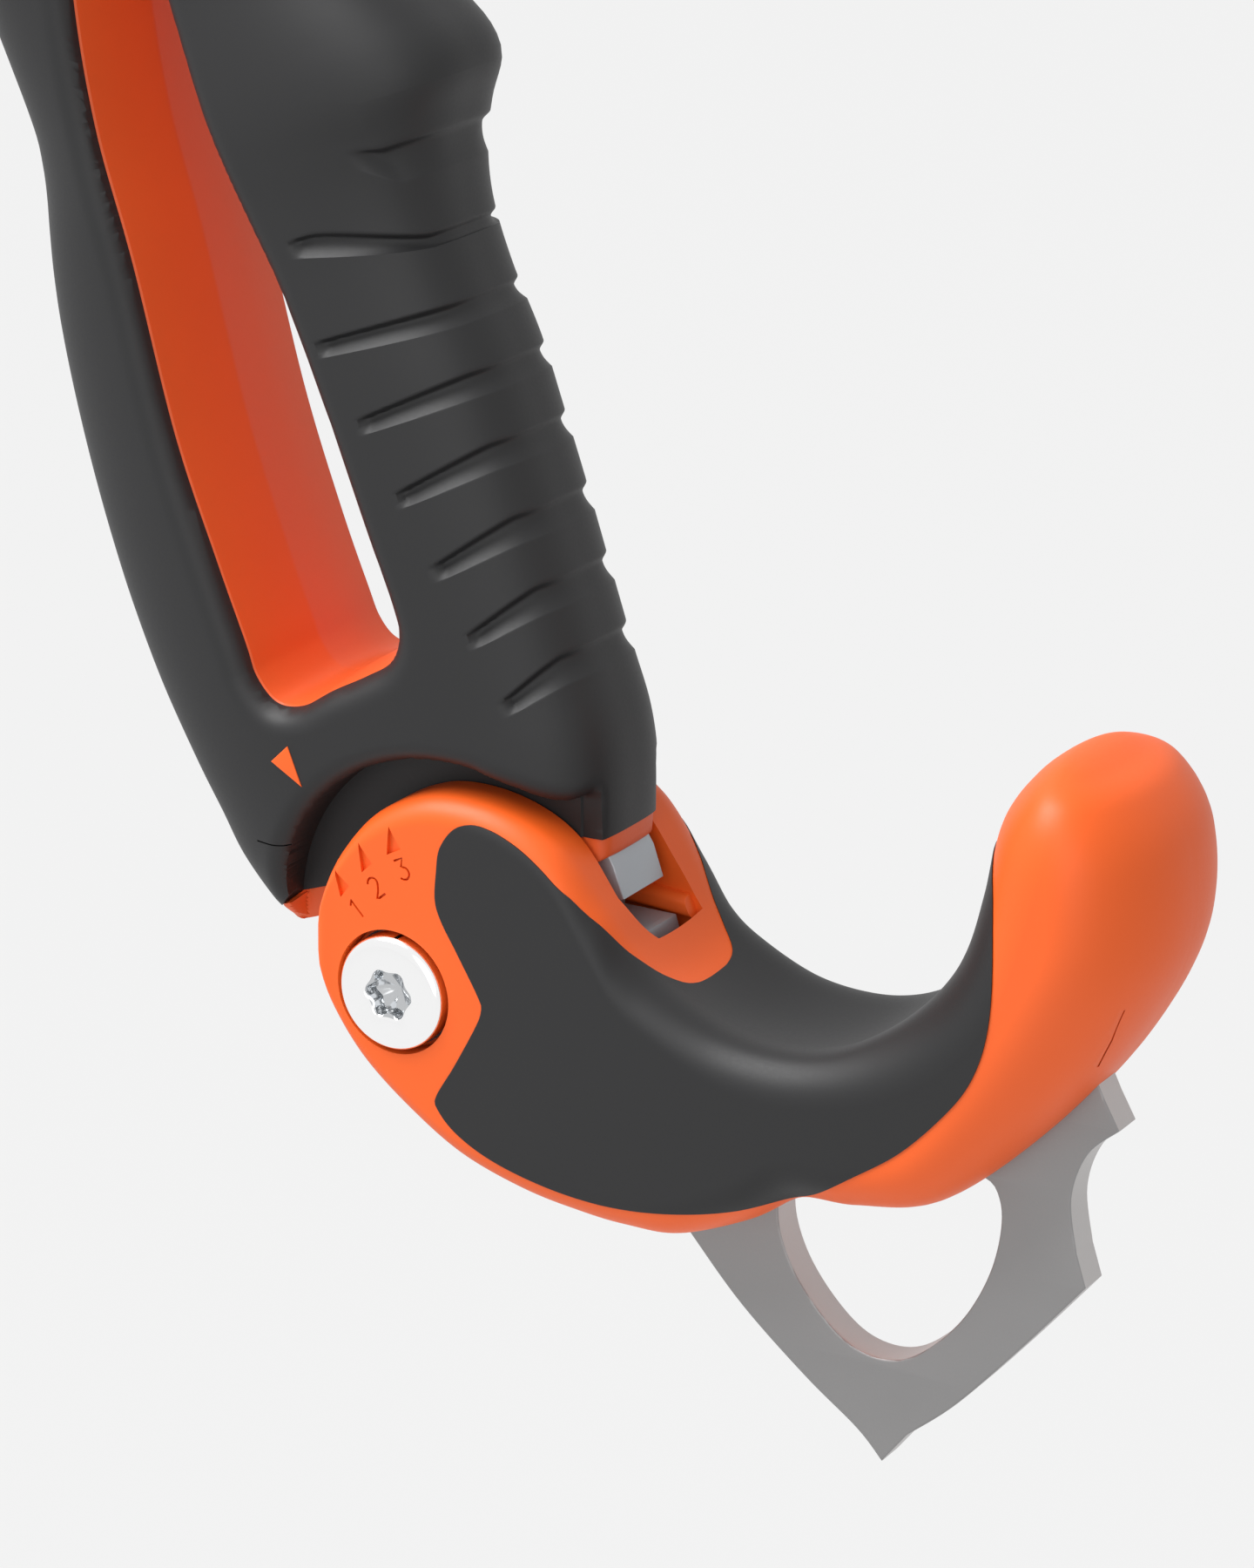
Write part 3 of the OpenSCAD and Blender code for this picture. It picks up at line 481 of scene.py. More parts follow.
def grip_body(near_rim):
    """Soft overmould: the handle's surface, pressed in by the grooves, the window's rim and the
    hollow's rim, each by a quarter round of its distance."""
    v, a = grip_rows(), section_angles(230)
    p = handle_surface(v, a)
    n = normals(p)
    n *= np.sign(np.sum(n * (p - p.mean(1, keepdims=True)), -1, keepdims=True))
    world = leaned(p)
    win = np.where(p[..., 1] < 0, edge_distance(p[..., [0, 2]], window_ring(0, 4)),
                   edge_distance(p[..., [0, 2]], window_ring(FAR_SHARE, 4)))
    sco = edge_distance(world[..., [0, 2]], scoop_outline())
    dip = groove_depth(v[:, None], p[..., 0], p[..., 1])
    rim = np.where(p[..., 1] < 0, near_rim, 1.6)
    dip = dip + quarter(win, rim) * (np.abs(n[..., 1]) > 0.5)
    dip = dip + quarter(sco, HOLLOW_RIM) * beside_tongue(p[..., 1])
    top = np.clip(v - GRIP_TOP, 0, 2)[:, None]
    dip = dip + 2 - np.sqrt(4 - top**2)
    p = leaned(p - n * dip[..., None])
    return solid("grip", p, sharp=38)


def window_ring(share, steps=12):
    """Window's outline, a share of the way from its near edge to the crease."""
    return loop(WINDOW_EDGE + share * (WINDOW_CREASE - WINDOW_EDGE), steps)


def window_cutter(name):
    """Room of the window in the overmould, narrower on the far half."""
    # Rows are y and share
    steps = [(-20, -0.02), (-1, -0.02), (1, FAR_SHARE), (20, FAR_SHARE)]
    return solid(name, leaned(np.stack([np.insert(window_ring(s), 1, y, axis=1)
                                        for y, s in steps])))


def window_sleeve():
    """Liner: the window's wall with a crease at the middle, closed by an outer wall."""
    # Rows are y and the share of the way from the near edge to the crease
    path = [(-9.9, -0.03), (-9.7, 0.06), (-9.3, 0.11), (-5, 0.53), (-0.3, 0.97), (0, 1.0),
            (0.3, 1.0), (5, 1.02), (10.8, 1.05), (11.1, 1.02), (11.2, 0.95), (11.2, 0.3),
            (1, 0.3), (-1, -0.6), (-9.9, -0.6)]
    p = np.stack([np.insert(window_ring(s), 1, y, axis=1) for y, s in path], 1)
    return solid("window liner", leaned(p), wrap_m=True, sharp=25)


# Rest


def ring_shape(corner=16, across=24, side=14):
    """Once round a rounded oblong: signs and shares that place each point. The rows are the
    share of the half width, of the top and bottom corners' rounding across, of the half height
    above and below, and of the roundings up."""
    q = np.linspace(0, math.pi / 2, corner)
    c, s = np.cos(q), np.sin(q)
    t = (np.arange(across) + 0.5) / across
    v = (np.arange(side) + 0.5) / side
    parts = [
        (1, 1 - c, 0, 1, 0, s, 0), (1 - 2 * t, 1 - 2 * t, 0, 1, 0, 1, 0),
        (-1, s - 1, 0, 1, 0, c, 0), (-1, 0, 0, 1 - v, v, 0, 0),
        (-1, 0, c - 1, 0, 1, 0, s), (2 * t - 1, 0, 2 * t - 1, 0, 1, 0, 1),
        (1, 0, 1 - s, 0, 1, 0, c), (1, 0, 0, v, 1 - v, 0, 0),
    ]
    return np.concatenate([np.stack(np.broadcast_arrays(*p)) for p in parts], 1)


def rest_surface(u, shape, inset=0.0):
    """Rounded oblong from the bottom line to the top line of each station, its corners quarter
    ellipses, dished across the seat by (1 - (y/w)2)^1.5."""
    k = rows(REST_KEYS, u)[:, None, :]
    wide, gt, gl, above, below, ct, cl = shape[:, None, :]
    top, low = k[..., 0:2], k[..., 2:4]
    half = np.linalg.norm(top - low, axis=-1) / 2
    up = (top - low) / (2 * half[..., None])
    w, h = k[..., 4] - inset, half - inset
    ty, tz, ly, lz = (np.maximum(k[..., i] - inset, 0.3) for i in (5, 6, 7, 8))
    ty, ly = np.minimum(ty, w), np.minimum(ly, w)
    tz, lz = np.minimum(tz, 0.98 * h), np.minimum(lz, 0.98 * h)
    y = wide * w - gt * ty - gl * ly
    v = above * (h - tz) - below * (h - lz) + ct * tz - cl * lz
    drop = k[..., 9] * ct * np.clip(1 - (y / (w - 0.35 * ty)) ** 2, 0, 1) ** 1.5
    q = (top + low) / 2 + up * (v - drop)[..., None]
    return np.stack([q[..., 0], y, q[..., 1]], -1)


def rest_rows(count):
    """Stations that step evenly along the saddle."""
    u = np.linspace(0, len(REST_KEYS) - 1, 1200)
    k = rows(REST_KEYS, u)
    mid = (k[:, 0:2] + k[:, 2:4]) / 2
    s = np.concatenate([[0], np.cumsum(np.linalg.norm(np.diff(mid, axis=0), axis=1)
                                       + 0.35 * np.abs(np.diff(k[:, 4])))])
    return np.interp(np.linspace(0, s[-1], count), s, u)


def fork_cutter():
    """Room between the cheeks: round about the pivot below, the web's radius above, with its
    front corners cut off towards both cheeks."""
    low = math.radians(-24)
    a = np.linspace(low, math.radians(150), 90)

    def layer(y, r):
        wide = np.stack([r * np.cos(a), r * np.sin(a)], -1)
        wide[a > math.radians(75)] *= 45 / r
        b = np.linspace(math.radians(150), 2 * math.pi + low, 60)
        rest = 14.5 * np.stack([np.cos(b), np.sin(b)], -1)
        rest[b < math.radians(200)] *= 3
        o = np.vstack([wide, rest])
        return np.insert(o, 1, y, axis=1)

    return solid("fork room", np.stack([layer(-6.1, 27.2), layer(-3.2, WEB_R), layer(6.1, WEB_R)]))


def ribbon(points, wide=0.11):
    """Outline of a thin stroke: the points moved to both sides by half its width."""
    p = np.asarray(points, float)
    d = np.gradient(p, axis=0)
    d /= np.linalg.norm(d, axis=1, keepdims=True)
    side = np.stack([-d[:, 1], d[:, 0]], -1) * wide
    return np.vstack([p + side, (p - side)[::-1]])


def marks_cutter():
    """The three triangles and their numbers, sunk into the near cheek."""

    def bow(x, z, r, first, last):
        k = np.radians(np.linspace(first, last, 13))
        return np.stack([x + r * np.cos(k), z + r * np.sin(k)], -1)

    one = np.array([[-0.1, -1], [0.1, -1], [0.1, 1], [-0.03, 1], [-0.5, 0.62], [-0.4, 0.45],
                    [-0.1, 0.7]])
    two = ribbon(np.vstack([bow(0, 0.45, 0.55, 160, -40), [[0.1, -0.35], [-0.55, -0.95],
                                                           [-0.3, -1.0], [0.6, -1.0]]]))
    three = ribbon(np.vstack([[[-0.5, 1.0], [0.5, 1.0], [0.02, 0.25]],
                              bow(0, -0.4, 0.6, 75, -150)]))
    # The triangles in place, then each number's shape, place and turn in degrees
    loops = [[[-0.25, 18.7], [-0.5, 15.5], [1.25, 16.4]], [[-4.15, 16.15], [-3.7, 12.9],
             [-2.4, 14.15]], [[-7.25, 12.5], [-6.45, 9.55], [-5.35, 11.05]]]
    for shape, x, z, turn in ((one, -4.4, 8.7, 44), (two, -2.0, 11.5, 40), (three, 1.4, 14.2, 27)):
        c, s = math.cos(math.radians(turn)) * 1.15, math.sin(math.radians(turn)) * 1.15
        loops.append(np.stack([x + shape[:, 0] * c - shape[:, 1] * s,
                               z + shape[:, 0] * s + shape[:, 1] * c], -1))
    return plate("marks", loops, 0.75, 0.0, -13.25)


def rest_solid():
    """Saddle's body less the room of the tongue, the screw head, the nut, the seam and the marks."""
    body = solid("rest body", rest_surface(rest_rows(240), ring_shape()))
    bore = tube((0, 0), [[-30, 7.0], [-9.9, 7.0]], 72)
    nut = tube((0, 0), [[9.9, 5.9], [30, 5.9]], 6)
    cutters = [fork_cutter(), solid("head room", bore), solid("nut room", nut),
               prism("seam", SEAM, -9.0, -5.4), marks_cutter()]
    return carved(body, cutters)


def pad_solid():
    """Pad: the shell between the saddle's surface grown and shrunk, kept inside its edge on the
    cheeks and cut away over the patch round the window."""
    stations, shape = rest_rows(300), ring_shape(16, 30, 30)
    pad = solid("pad", rest_surface(stations, shape, -0.14))
    carved(pad, [solid("pad inside", rest_surface(rest_rows(120), ring_shape(8, 8, 8), 0.7))])
    carved(pad, [prism("pad zone", even(loop(PAD_EDGE, 8), 420, closed=True), -20, 20)],
           "INTERSECT")
    o = line(PATCH_EDGE, 8)
    patch = np.stack([np.insert(o, 2, z, axis=1) for z in (1.0, 40.0)])
    return carved(pad, [solid("patch", patch)], sharp=40)


# Materials


def linear(code):
    """Hex sRGB colour as linear red, green, blue and alpha."""
    c = np.array([int(code[i:i + 2], 16) for i in (1, 3, 5)]) / 255
    c = np.where(c <= 0.04045, c / 12.92, ((c + 0.055) / 1.055) ** 2.4)
    return (*c.tolist(), 1.0)


def add(tree, kind, settings=None, **links):
    """One node with its settings and its links; a key of links is an input's name or number."""
    n = tree.nodes.new(kind)
    for key, value in (settings or {}).items():
        if key in n.inputs:
            n.inputs[key].default_value = value
        else:
            setattr(n, key, value)
    for key, source in links.items():
        slot = n.inputs[int(key[1:])] if key[0] == "i" and key[1:].isdigit() else n.inputs[key]
        tree.links.new(source, slot)
    return n


def surface(name, code, rough, metallic=0.0, grain=0.4, spread=0.06, bump=0.1, gloss=0.5):
    """Material with a mottled colour, uneven roughness and a bump of the given grain in mm. The
    real grain of moulded and blasted faces is near 0.05 mm, so it is drawn coarse enough to
    show."""
    mat = bpy.data.materials.new(name)
    mat.use_nodes = True
    t = mat.node_tree
    t.nodes.clear()
    base = linear(code)
    place = add(t, "ShaderNodeTexCoord").outputs["Object"]
    broad = add(t, "ShaderNodeTexNoise", {"Scale": 60.0, "Detail": 3.0}, Vector=place)
    tint = add(t, "ShaderNodeMix", {"data_type": "RGBA"}, Factor=broad.outputs["Fac"])
    # Inputs 6 and 7 and output 2 of the mix are its colours
    tint.inputs[6].default_value = tuple(min(1, c * (1 - spread)) for c in base[:3]) + (1,)
    tint.inputs[7].default_value = tuple(min(1, c * (1 + spread)) for c in base[:3]) + (1,)
    fine = add(t, "ShaderNodeTexNoise", {"Scale": 1000.0 / grain, "Detail": 2.0}, Vector=place)
    even_out = add(t, "ShaderNodeMapRange",
                   {"To Min": max(0.02, rough - 0.05), "To Max": min(1, rough + 0.05)},
                   Value=fine.outputs["Fac"])
    relief = add(t, "ShaderNodeBump", {"Strength": bump, "Distance": 0.0001},
                 Height=fine.outputs["Fac"])
    shader = add(t, "ShaderNodeBsdfPrincipled",
                 {"Metallic": metallic, "Specular IOR Level": gloss})
    t.links.new(tint.outputs[2], shader.inputs["Base Color"])
    t.links.new(even_out.outputs[0], shader.inputs["Roughness"])
    t.links.new(relief.outputs[0], shader.inputs["Normal"])
    out = add(t, "ShaderNodeOutputMaterial")
    t.links.new(shader.outputs[0], out.inputs[0])
    return mat


# Finishes: colour as a hex code or the name of a setting, roughness, share of metal and the rest
FINISHES = {
    # Glass-filled nylon from a fine textured mould: even orange with a broad soft sheen
    "moulded nylon": ("nylon", 0.48, 0.0, {"grain": 0.35, "bump": 0.04, "spread": 0.03,
                                           "gloss": 0.42}),
    # The same nylon with a duller face: deep red orange inside the window
    "liner nylon": ("liner", 0.5, 0.0, {"grain": 0.35, "spread": 0.05}),
    # Soft overmoulded rubber: charcoal with a faint wide highlight along its crests
    "moulded rubber": ("rubber", 0.52, 0.0, {"grain": 0.3, "bump": 0.06, "spread": 0.05,
                                             "gloss": 0.4}),
    # Hardened steel sheet, bead blasted: flat mid grey without a mirror image
    "blasted steel": ("steel", 0.5, 0.75, {"grain": 0.25, "bump": 0.12}),
    # The same sheet where it was cut: paler than its faces
    "cut steel": ("#bebbba", 0.45, 0.5, {"grain": 0.3}),
    # Broached steel with small bright and dark facets, greyer than the screw's head: painted shade
    # and painted dark reflections inside the socket
    "socket steel painted shade": ("#c6c8ca", 0.12, 1.0, {"bump": 0.01}),
    # Ground steel plate: pale bluish grey, slightly uneven
    "ground steel": ("plate", 0.45, 0.5, {"grain": 0.3, "bump": 0.15}),
    # Polished plated steel: mirrors the pale room, so it looks white
    "polished steel": ("screw", 0.1, 1.0, {"bump": 0.01, "spread": 0.01}),
    # Turned steel of pins and nuts: plain grey metal
    "plain steel": ("#9a9ca0", 0.35, 1.0, {"bump": 0.05}),
    # Moulded washer, painted near black: painted shade in the screw's counterbore and a thin line of
    # painted shade beside the cheeks
    "washer painted shade": ("#26272a", 0.5, 0.0, {"bump": 0.05}),
    # Drawn aluminium tube, anodised: nearly black with a satin streak along it
    "anodised alloy": ("alloy", 0.38, 1.0, {"grain": 0.2, "bump": 0.06}),
    # Forged aluminium, blasted and anodised: lighter and duller than the shaft
    "head alloy": ("head", 0.4, 1.0, {"grain": 0.25}),
    # Blackened steel: dark metal with a dull shine
    "black steel": ("#4a4c50", 0.45, 1.0, {"grain": 0.3, "bump": 0.12}),
}
MATERIALS = {}


def finish_of(name):
    """The named finish, made once."""
    if name not in MATERIALS:
        colour, rough, metallic, more = FINISHES[name]
        code = colour if colour[0] == "#" else getattr(bpy.context.scene.ice_tool_looks, colour)
        MATERIALS[name] = surface(name, code, rough, metallic, **more)
    return MATERIALS[name]


def dress(obj, finish, body, slot, *nodes):
    """Gives a piece its finish and its body, and hides the nodes that it stands for; slot is not
    used.
    """
    obj.data.materials.clear()
    obj.data.materials.append(finish_of(finish))
    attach(obj, body)
    if nodes:
        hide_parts(*nodes)
    return obj


def second(obj, finish, chosen):
    """Gives a further finish to the faces that chosen(centres in mm, normals) picks."""
    count = len(obj.data.polygons)
    at, way = np.empty(count * 3), np.empty(count * 3)
    obj.data.polygons.foreach_get("center", at)
    obj.data.polygons.foreach_get("normal", way)
    obj.data.materials.append(finish_of(finish))
    picked = chosen(at.reshape(-1, 3) * 1000 - PIVOT, way.reshape(-1, 3))
    obj.data.polygons.foreach_set("material_index", picked.astype(np.int32))


# Settings


def length(label, words, mm):
    """Length setting whose default is given in millimetres."""
    return bpy.props.FloatProperty(name=label, description=words, default=mm * 0.001,
                                   unit="LENGTH", precision=4)


def shade(label, words, code):
    """Colour setting as a hex code."""
    return bpy.props.StringProperty(name=label, description=words, default=code)


class ICETOOL_PG_sizes(bpy.types.PropertyGroup):
    grip_rim: length("Window rim", "Radius of the soft rim round the window", 2.8)
    blade_edge: length("Metal edge", "Bevel along the edges of the head and the pick", 0.3)
    floor_drop: length("Floor", "Distance from the spike's tip down to the floor", 260.0)


class ICETOOL_PG_looks(bpy.types.PropertyGroup):
    nylon: shade("Rest nylon", "Colour of the moulded rest", "#ee601c")
    liner: shade("Liner nylon", "Colour of the handle's core and liner", "#df5b24")
    rubber: shade("Rubber", "Colour of the grip and the pad", "#202021")
    steel: shade("Blade steel", "Colour of the spike, the pick and the hammer", "#969595")
    plate: shade("Plate steel", "Colour of the index plate", "#a9aeb3")
    screw: shade("Screw steel", "Colour of the clamp screw", "#ffffff")
    alloy: shade("Shaft alloy", "Colour of the shaft", "#3a3c3f")
    head: shade("Head alloy", "Colour of the head", "#5c5f64")


# Pieces


class Piece:
    """What the operators share: make() builds the piece, and raises an error if it can't"""
    bl_options = {"REGISTER", "UNDO"}

    def execute(self, context):
        self.make(context)
        return {"FINISHED"}


class ICETOOL_OT_grip(Piece, bpy.types.Operator):
    """Soft overmould of the handle with its eight grooves"""
    bl_idname = "ice_tool.grip"
    bl_label = "Grip overmould"

    def make(self, context):
        cutters = [window_cutter("window"), scoop_cutter("near hollow", -1, TONGUE_HALF),
                   scoop_cutter("far hollow", 1, TONGUE_HALF),
                   prism("slit", SLIT, -15, -6)]
        grip = carved(grip_body(context.scene.ice_tool_sizes.grip_rim * 1000), cutters, sharp=38)
        dress(grip, "moulded rubber", "tool", "overmould_black", "grip_overmould")


class ICETOOL_OT_core(Piece, bpy.types.Operator):
    """Handle core: window liner, lip and end face"""
    bl_idname = "ice_tool.core"
    bl_label = "Handle core"

    def make(self, context):
        # Rounded at its bottom, flush with the overmould's foot, and drawn in where that covers it
        v = np.array([8.1, 8.2, 8.5, *np.arange(9.0, 12.7, 0.4), 13.2, 14.5])
        inset = np.interp(v, [8.1, 8.2, 8.5, 10.2, 12.7, 13.2], [0.5, 0.25, 0.05, 0.05, 0.2, 1.4])
        a = section_angles(260)
        rear = 2.0 * step(v, 10.5, 11.4)[:, None] * step(-np.cos(a), -0.3, 0.3)
        p = leaned(np.stack([handle_surface(v[i:i + 1], a, inset[i] + rear[i:i + 1], False)[0]
                             for i in range(len(v))]))
        away = edge_distance(p[..., [0, 2]], scoop_outline())
        dip = (quarter(away, HOLLOW_RIM) + 0.1) * beside_tongue(p[..., 1])
        limit = np.where(away < 0.05, hollow_depth(p[..., 0], p[..., 2], TONGUE_HALF - 0.4, 2.4),
                         np.abs(p[..., 1]) - dip)
        p[..., 1] = np.clip(p[..., 1], -limit, limit)
        dress(solid("handle core", p), "liner nylon", "tool", "core_orange", "handle_core")
        dress(window_sleeve(), "liner nylon", "tool", "core_orange")


class ICETOOL_OT_pointer(Piece, bpy.types.Operator):
    """Pointer triangle beside the cheek"""
    bl_idname = "ice_tool.pointer"
    bl_label = "Pointer"

    def make(self, context):
        mark = plate("pointer", [[[-15.35, 23.1], [-13.2, 25.2], [-11.5, 20.9]]], 0.6, 0.12, -12.0)
        dress(mark, "moulded nylon", "tool", "rest_orange", "pointer_mark")


class ICETOOL_OT_index(Piece, bpy.types.Operator):
    """Index plate with its notch"""
    bl_idname = "ice_tool.index_plate"
    bl_label = "Index plate"

    def make(self, context):
        def turn(r, degrees):
            a = math.radians(degrees)
            return [r * math.cos(a), r * math.sin(a)]

        # Round the pivot, up the front, in and out of the notch, and back along the top
        ring = [turn(13, d) for d in range(180, 361, 6)] + [turn(13, 6)]
        ring += [turn(26.2, d) for d in (6, 8, 10, 12, 14)]
        notch = [[25.23, 7.14], [24.9, 8.2], [18.6, 8.2], [18.8, 9.6], [23.33, 12.2]]
        top = [[22.15, 15.65], [21.3, 17.0]] + [turn(27.2, d) for d in (42, 48, 56, 64, 74)]
        obj = plate("index plate", [ring + notch + top + [turn(24, 110), turn(13, 140)]], 4.15, 0.2)
        dress(obj, "ground steel", "tool", "index_steel", "index_plate")


class ICETOOL_OT_rest(Piece, bpy.types.Operator):
    """Rest body with its cheeks, saddle and horn"""
    bl_idname = "ice_tool.rest"
    bl_label = "Rest body"

    def make(self, context):
        dress(rest_solid(), "moulded nylon", "rest", "rest_orange", "rest_body")


class ICETOOL_OT_pad(Piece, bpy.types.Operator):
    """Soft pad over the seat and both cheeks"""
    bl_idname = "ice_tool.pad"
    bl_label = "Rest pad"

    def make(self, context):
        dress(pad_solid(), "moulded rubber", "rest", "pad_black", "rest_pad")


class ICETOOL_OT_ribs(Piece, bpy.types.Operator):
    """Rounded ribs inside both cheeks, seen through the plate's notch"""
    bl_idname = "ice_tool.ribs"
    bl_label = "Cheek ribs"

    def make(self, context):
        # Each rib's section is |y/1.85|^(1/0.35) + |z/1.25|^(1/0.35) = 1, its end cut slanting
        t = np.linspace(0, 1, 12)[:, None]
        a = np.linspace(0, 2 * math.pi, 48, endpoint=False)[None, :]
        up, out = power(np.sin(a), 0.7), power(np.cos(a), 0.7)
        z = 9.3 - 0.6 * t + 1.25 * up
        for name, side, end in (("near rib", -1, 25.2), ("far rib", 1, 26.6)):
            x = 17.0 + t * (end - 0.46 * (z - 7.4) - 17.0)
            p = np.stack([x, side * (6.3 + 1.85 * out + 0 * t), z], -1)
            dress(solid(name, p), "moulded nylon", "rest", "rest_orange")


class ICETOOL_OT_spike(Piece, bpy.types.Operator):
    """Spike blade with its clip hole"""
    bl_idname = "ice_tool.spike"
    bl_label = "Spike blade"

    def make(self, context):
        outer = np.vstack([line(part, 8) for part in SPIKE_OUTER])
        obj = plate("spike blade", [outer, even(loop(CLIP_EDGE, 8), 120, closed=True)], 2.0, 0.3)
        dress(obj, "blasted steel", "rest", "blade_steel", "spike_blade")
        second(obj, "cut steel", lambda at, way: np.abs(way[:, 1]) < 0.5)


class ICETOOL_OT_spike_pins(Piece, bpy.types.Operator):
    """Two pins across the blade, short enough to stay under the rest's rounding"""
    bl_idname = "ice_tool.spike_pins"
    bl_label = "Spike pins"

    def make(self, context):
        ends = [[-SPIKE_PIN_HALF, SPIKE_PIN_R], [SPIKE_PIN_HALF, SPIKE_PIN_R]]
        pins = [solid("spike pins", tube(at, ends)) for at in SPIKE_PINS]
        dress(carved(pins[0], pins[1:], "UNION"), "plain steel", "rest", "hidden_steel",
              "spike_pins")


class ICETOOL_OT_screw(Piece, bpy.types.Operator):
    """Clamp screw with its six-lobe socket"""
    bl_idname = "ice_tool.screw"
    bl_label = "Clamp screw"

    def make(self, context):
        r = SCREW_HEAD_R
        # Rows are y and radius, from the tip of the shank over the head into the socket
        profile = [[12.9, 3.0], [-10.9, 3.0], [-10.9, r], [-13.2, r], [-13.5, r - 0.12],
                   [-13.75, r - 0.4], [-13.9, r - 0.8], [-14.0, r - 1.3], [-14.05, 3.1],
                   [-13.95, 2.9], [-13.75, 2.8], [-12.2, 2.7], [-11.8, 1.3], [-11.4, 0.15]]
        # Rows from the last flat one inwards take the six lobes, but the last is the middle
        first = 8

        def lobes(angle, radius, row):
            share = np.clip((row - first) / 2.0, 0, 1) * (row < len(profile) - 1)
            return radius * (1 - share * 0.115 * (1 - np.cos(6 * angle)) * (radius < 3.2))

        obj = solid("clamp screw", tube((0, 0), profile, 144, lobes), sharp=40)
        dress(obj, "polished steel", "screw", "screw_steel", "clamp_screw")
        # The socket's faces take the greyer steel: painted shade inside the recess
        second(obj, "socket steel painted shade", lambda at, way: (np.hypot(at[:, 0], at[:, 2]) < 2.95)
               & (at[:, 1] > -13.9))


class ICETOOL_OT_shaft(Piece, bpy.types.Operator):
    """Curved shaft and the upper grip's rubber sleeve"""
    bl_idname = "ice_tool.shaft"
    bl_label = "Shaft and upper grip"

    def ring(self, u, grow):
        """Oval sections |a/13.5|^2.5 + |y/9.5|^2.5 = 1 across the centre line, grown by grow."""
        k = np.asarray(SHAFT_KEYS, float)
        p = rows(k, u)
        d = rows(k, np.minimum(u + 0.02, len(k) - 1)) - rows(k, np.maximum(u - 0.02, 0))
        d /= np.linalg.norm(d, axis=1, keepdims=True)
        side = np.stack([d[:, 1], -d[:, 0]], -1)[:, None]
        a = np.linspace(0, 2 * math.pi, 72, endpoint=False)[None, :]
        g = np.asarray(grow, float).reshape(-1, 1)
        q = p[:, None] + side * ((13.5 + g) * power(np.cos(a), 0.8))[..., None]
        return np.stack([q[..., 0], (9.5 + g) * power(np.sin(a), 0.8), q[..., 1]], -1)

    def make(self, context):
        u = np.linspace(0.05, 6.98, 150)
        dress(solid("shaft", self.ring(u, 0 * u)), "anodised alloy", "tool", "shaft_alloy", "shaft")
        u = np.linspace(3.1, 4.5, 150)
        t = (u - 3.1) / 1.4
        ends = np.minimum(t, 1 - t) * 70
        grow = 2.0 * np.sqrt(np.clip(1 - (1 - np.clip(ends / 2, 0, 1)) ** 2, 0.01, 1))
        wave = 0.35 * np.clip(np.sin(t * 2 * math.pi * 9), -0.3, 1) * step(ends, 6, 12)
        dress(solid("upper grip", self.ring(u, grow - wave)), "moulded rubber", "tool",
              "overmould_black", "upper_grip")


class ICETOOL_OT_carried(Piece, bpy.types.Operator):
    """Finishes of the pieces that keep their own shape"""
    bl_idname = "ice_tool.carried"
    bl_label = "Carried pieces"

    def make(self, context):
        # The washers take the near-black finish: painted shade where they show
        looks = {
            "plate_pins": "plain steel", "pivot_sleeve": "plain steel", "thrust_washers":
            "washer painted shade", "head": "head alloy", "head_pins": "plain steel", "pick":
            "blasted steel", "pick_bolts": "polished steel", "pick_nuts": "plain steel",
            "pick_weights": "black steel", "weight_screws": "polished steel", "hammer":
            "blasted steel", "hammer_bolt": "polished steel", "clamp_nut": "plain steel",
            "clamp_washer": "washer painted shade",
        }
        for node, finish in looks.items():
            data = NODES[node].data
            data.materials.clear()
            data.materials.append(finish_of(finish))
        for node in ("head", "pick", "hammer", "pick_weights"):
            edge = NODES[node].modifiers.new("edge", "BEVEL")
            edge.width, edge.segments = context.scene.ice_tool_sizes.blade_edge, 2
            edge.limit_method, edge.angle_limit = "ANGLE", math.radians(40)


def seen_by(tree, *kinds):
    """Factor that is 1 for the named kinds of ray and 0 for others."""
    rays = add(tree, "ShaderNodeLightPath").outputs
    seen = rays[kinds[0]]
    for kind in kinds[1:]:
        seen = add(tree, "ShaderNodeMath", {"operation": "MAXIMUM"}, i0=seen,
                   i1=rays[kind]).outputs[0]
    return seen


def make_floor(drop):
    """Plain floor, pale to the camera and in reflections and greyer to diffuse light."""
    z = (PIVOT[2] - SPIKE_TIP_DOWN) * 0.001 - drop
    s = FLOOR_HALF
    mesh = bpy.data.meshes.new("floor")
    mesh.from_pydata([(-s, -s, z), (s, -s, z), (s, s, z), (-s, s, z)], [], [(0, 1, 2, 3)])
    floor = new_object("floor", mesh)
    mat = bpy.data.materials.new("pale floor")
    mat.use_nodes = True
    t = mat.node_tree
    t.nodes.clear()
    plain = add(t, "ShaderNodeBsdfDiffuse", {"Color": linear("#d8d8d8")})
    glow = add(t, "ShaderNodeEmission", {"Color": linear(PAPER)})
    seen = seen_by(t, "Is Camera Ray", "Is Glossy Ray")
    share = add(t, "ShaderNodeMath", {"operation": "MULTIPLY"}, i0=seen)
    share.inputs[1].default_value = 0.97
    mix = add(t, "ShaderNodeMixShader", None, i0=share.outputs[0], i1=plain.outputs[0],
              i2=glow.outputs[0])
    out = add(t, "ShaderNodeOutputMaterial")
    t.links.new(mix.outputs[0], out.inputs[0])
    floor.data.materials.append(mat)


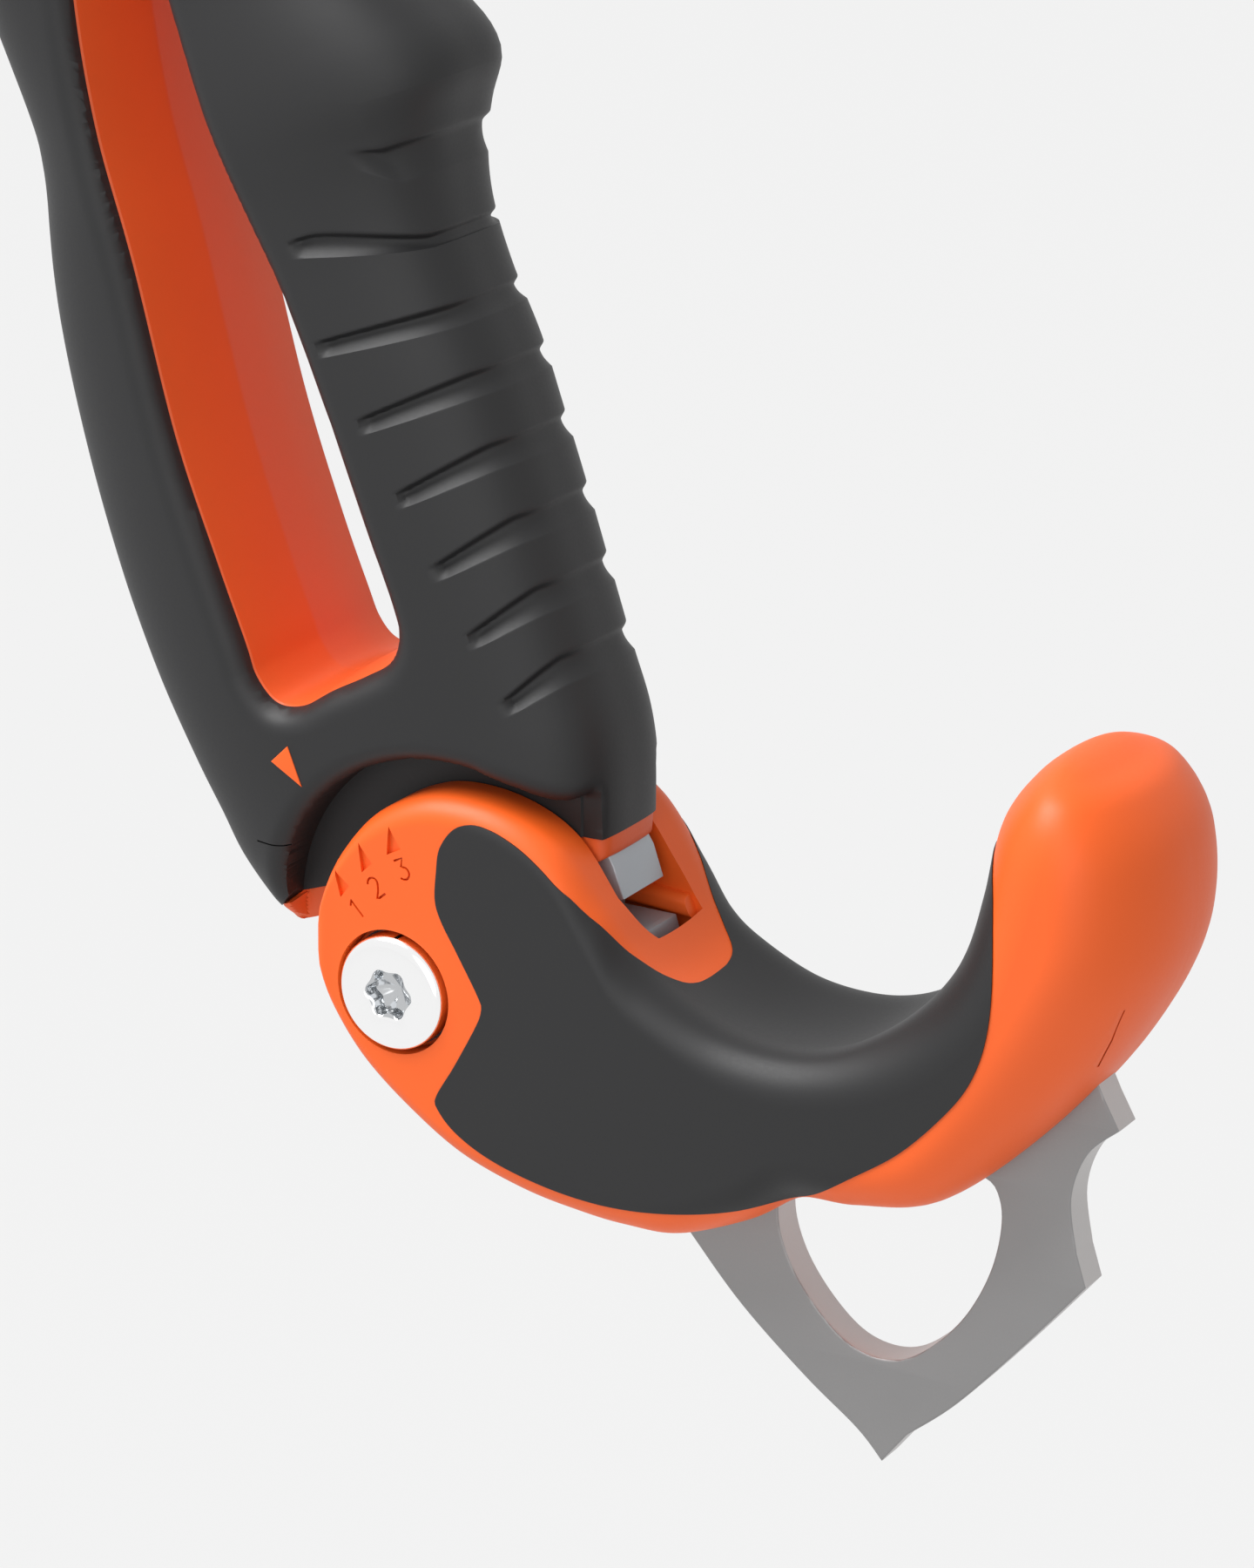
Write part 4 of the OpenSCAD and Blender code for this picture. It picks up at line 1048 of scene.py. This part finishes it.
def make_world(scene):
    """Soft even light, with the paper's paleness where the camera or a reflection sees it."""
    world = bpy.data.worlds.new("studio")
    scene.world = world
    world.use_nodes = True
    w = world.node_tree
    w.nodes.clear()
    seen = seen_by(w, "Is Camera Ray", "Is Transmission Ray", "Is Glossy Ray")
    soft = add(w, "ShaderNodeBackground", {"Color": (1, 1, 1, 1), "Strength": WORLD_LIGHT})
    back = add(w, "ShaderNodeBackground", {"Color": linear(PAPER), "Strength": 1.0})
    mix = add(w, "ShaderNodeMixShader", None, i0=seen, i1=soft.outputs[0], i2=back.outputs[0])
    out = add(w, "ShaderNodeOutputWorld")
    w.links.new(mix.outputs[0], out.inputs[0])


def make_lamps(scene):
    """Round area lamps that face the rest."""
    aim = Vector(((PIVOT + [30, 0, 10]) * 0.001).tolist())
    for name, at, size, watts in LAMPS:
        data = bpy.data.lights.new(name, "AREA")
        data.shape, data.size, data.energy = "DISK", size, watts
        lamp = bpy.data.objects.new(name, data)
        scene.collection.objects.link(lamp)
        lamp.location = aim + Vector(at)
        lamp.rotation_euler = (aim - lamp.location).to_track_quat("-Z", "Y").to_euler()


def make_camera(scene):
    """Camera that sees the tool as the photograph does."""
    a, e = math.radians(CAMERA_ROUND), math.radians(CAMERA_UP)
    data = bpy.data.cameras.new("camera")
    data.lens, data.sensor_width = CAMERA_LENS, 36.0
    data.clip_start, data.clip_end = 0.02, 50.0
    camera = bpy.data.objects.new("camera", data)
    scene.collection.objects.link(camera)
    camera.location = ((CAMERA_AT + PIVOT) * 0.001).tolist()
    look = Vector((-math.sin(a) * math.cos(e), math.cos(a) * math.cos(e), -math.sin(e)))
    camera.rotation_euler = look.to_track_quat("-Z", "Y").to_euler()
    scene.camera = camera


class ICETOOL_OT_stage(Piece, bpy.types.Operator):
    """Pale floor, soft lamps, background and camera"""
    bl_idname = "ice_tool.stage"
    bl_label = "Stage"

    def make(self, context):
        scene = context.scene
        scene.view_settings.view_transform = "Standard"
        make_floor(scene.ice_tool_sizes.floor_drop)
        make_world(scene)
        make_lamps(scene)
        make_camera(scene)


CLASSES = [
    ICETOOL_PG_sizes, ICETOOL_PG_looks, ICETOOL_OT_stage, ICETOOL_OT_grip, ICETOOL_OT_core,
    ICETOOL_OT_pointer, ICETOOL_OT_index, ICETOOL_OT_rest, ICETOOL_OT_pad, ICETOOL_OT_ribs,
    ICETOOL_OT_spike, ICETOOL_OT_spike_pins, ICETOOL_OT_screw, ICETOOL_OT_shaft, ICETOOL_OT_carried,
]


class ICETOOL_PT_panel(bpy.types.Panel):
    """Lists the pieces of the tool"""
    bl_idname = "ICETOOL_PT_panel"
    bl_label = "Ice climbing tool"
    bl_space_type = "VIEW_3D"
    bl_region_type = "UI"
    bl_category = "Ice tool"

    def draw(self, context):
        for group in (context.scene.ice_tool_sizes, context.scene.ice_tool_looks):
            for key in group.__annotations__:
                self.layout.prop(group, key)
        for cls in CLASSES[2:]:
            self.layout.operator(cls.bl_idname)


def register():
    for cls in [*CLASSES, ICETOOL_PT_panel]:
        bpy.utils.register_class(cls)
    bpy.types.Scene.ice_tool_sizes = bpy.props.PointerProperty(type=ICETOOL_PG_sizes)
    bpy.types.Scene.ice_tool_looks = bpy.props.PointerProperty(type=ICETOOL_PG_looks)


def unregister():
    del bpy.types.Scene.ice_tool_sizes
    del bpy.types.Scene.ice_tool_looks
    for cls in reversed([*CLASSES, ICETOOL_PT_panel]):
        bpy.utils.unregister_class(cls)


def main():
    """Makes every piece in turn."""
    register()
    for cls in CLASSES[2:]:
        group, name = cls.bl_idname.split(".")
        getattr(getattr(bpy.ops, group), name)()


if __name__ == "__main__":
    main()
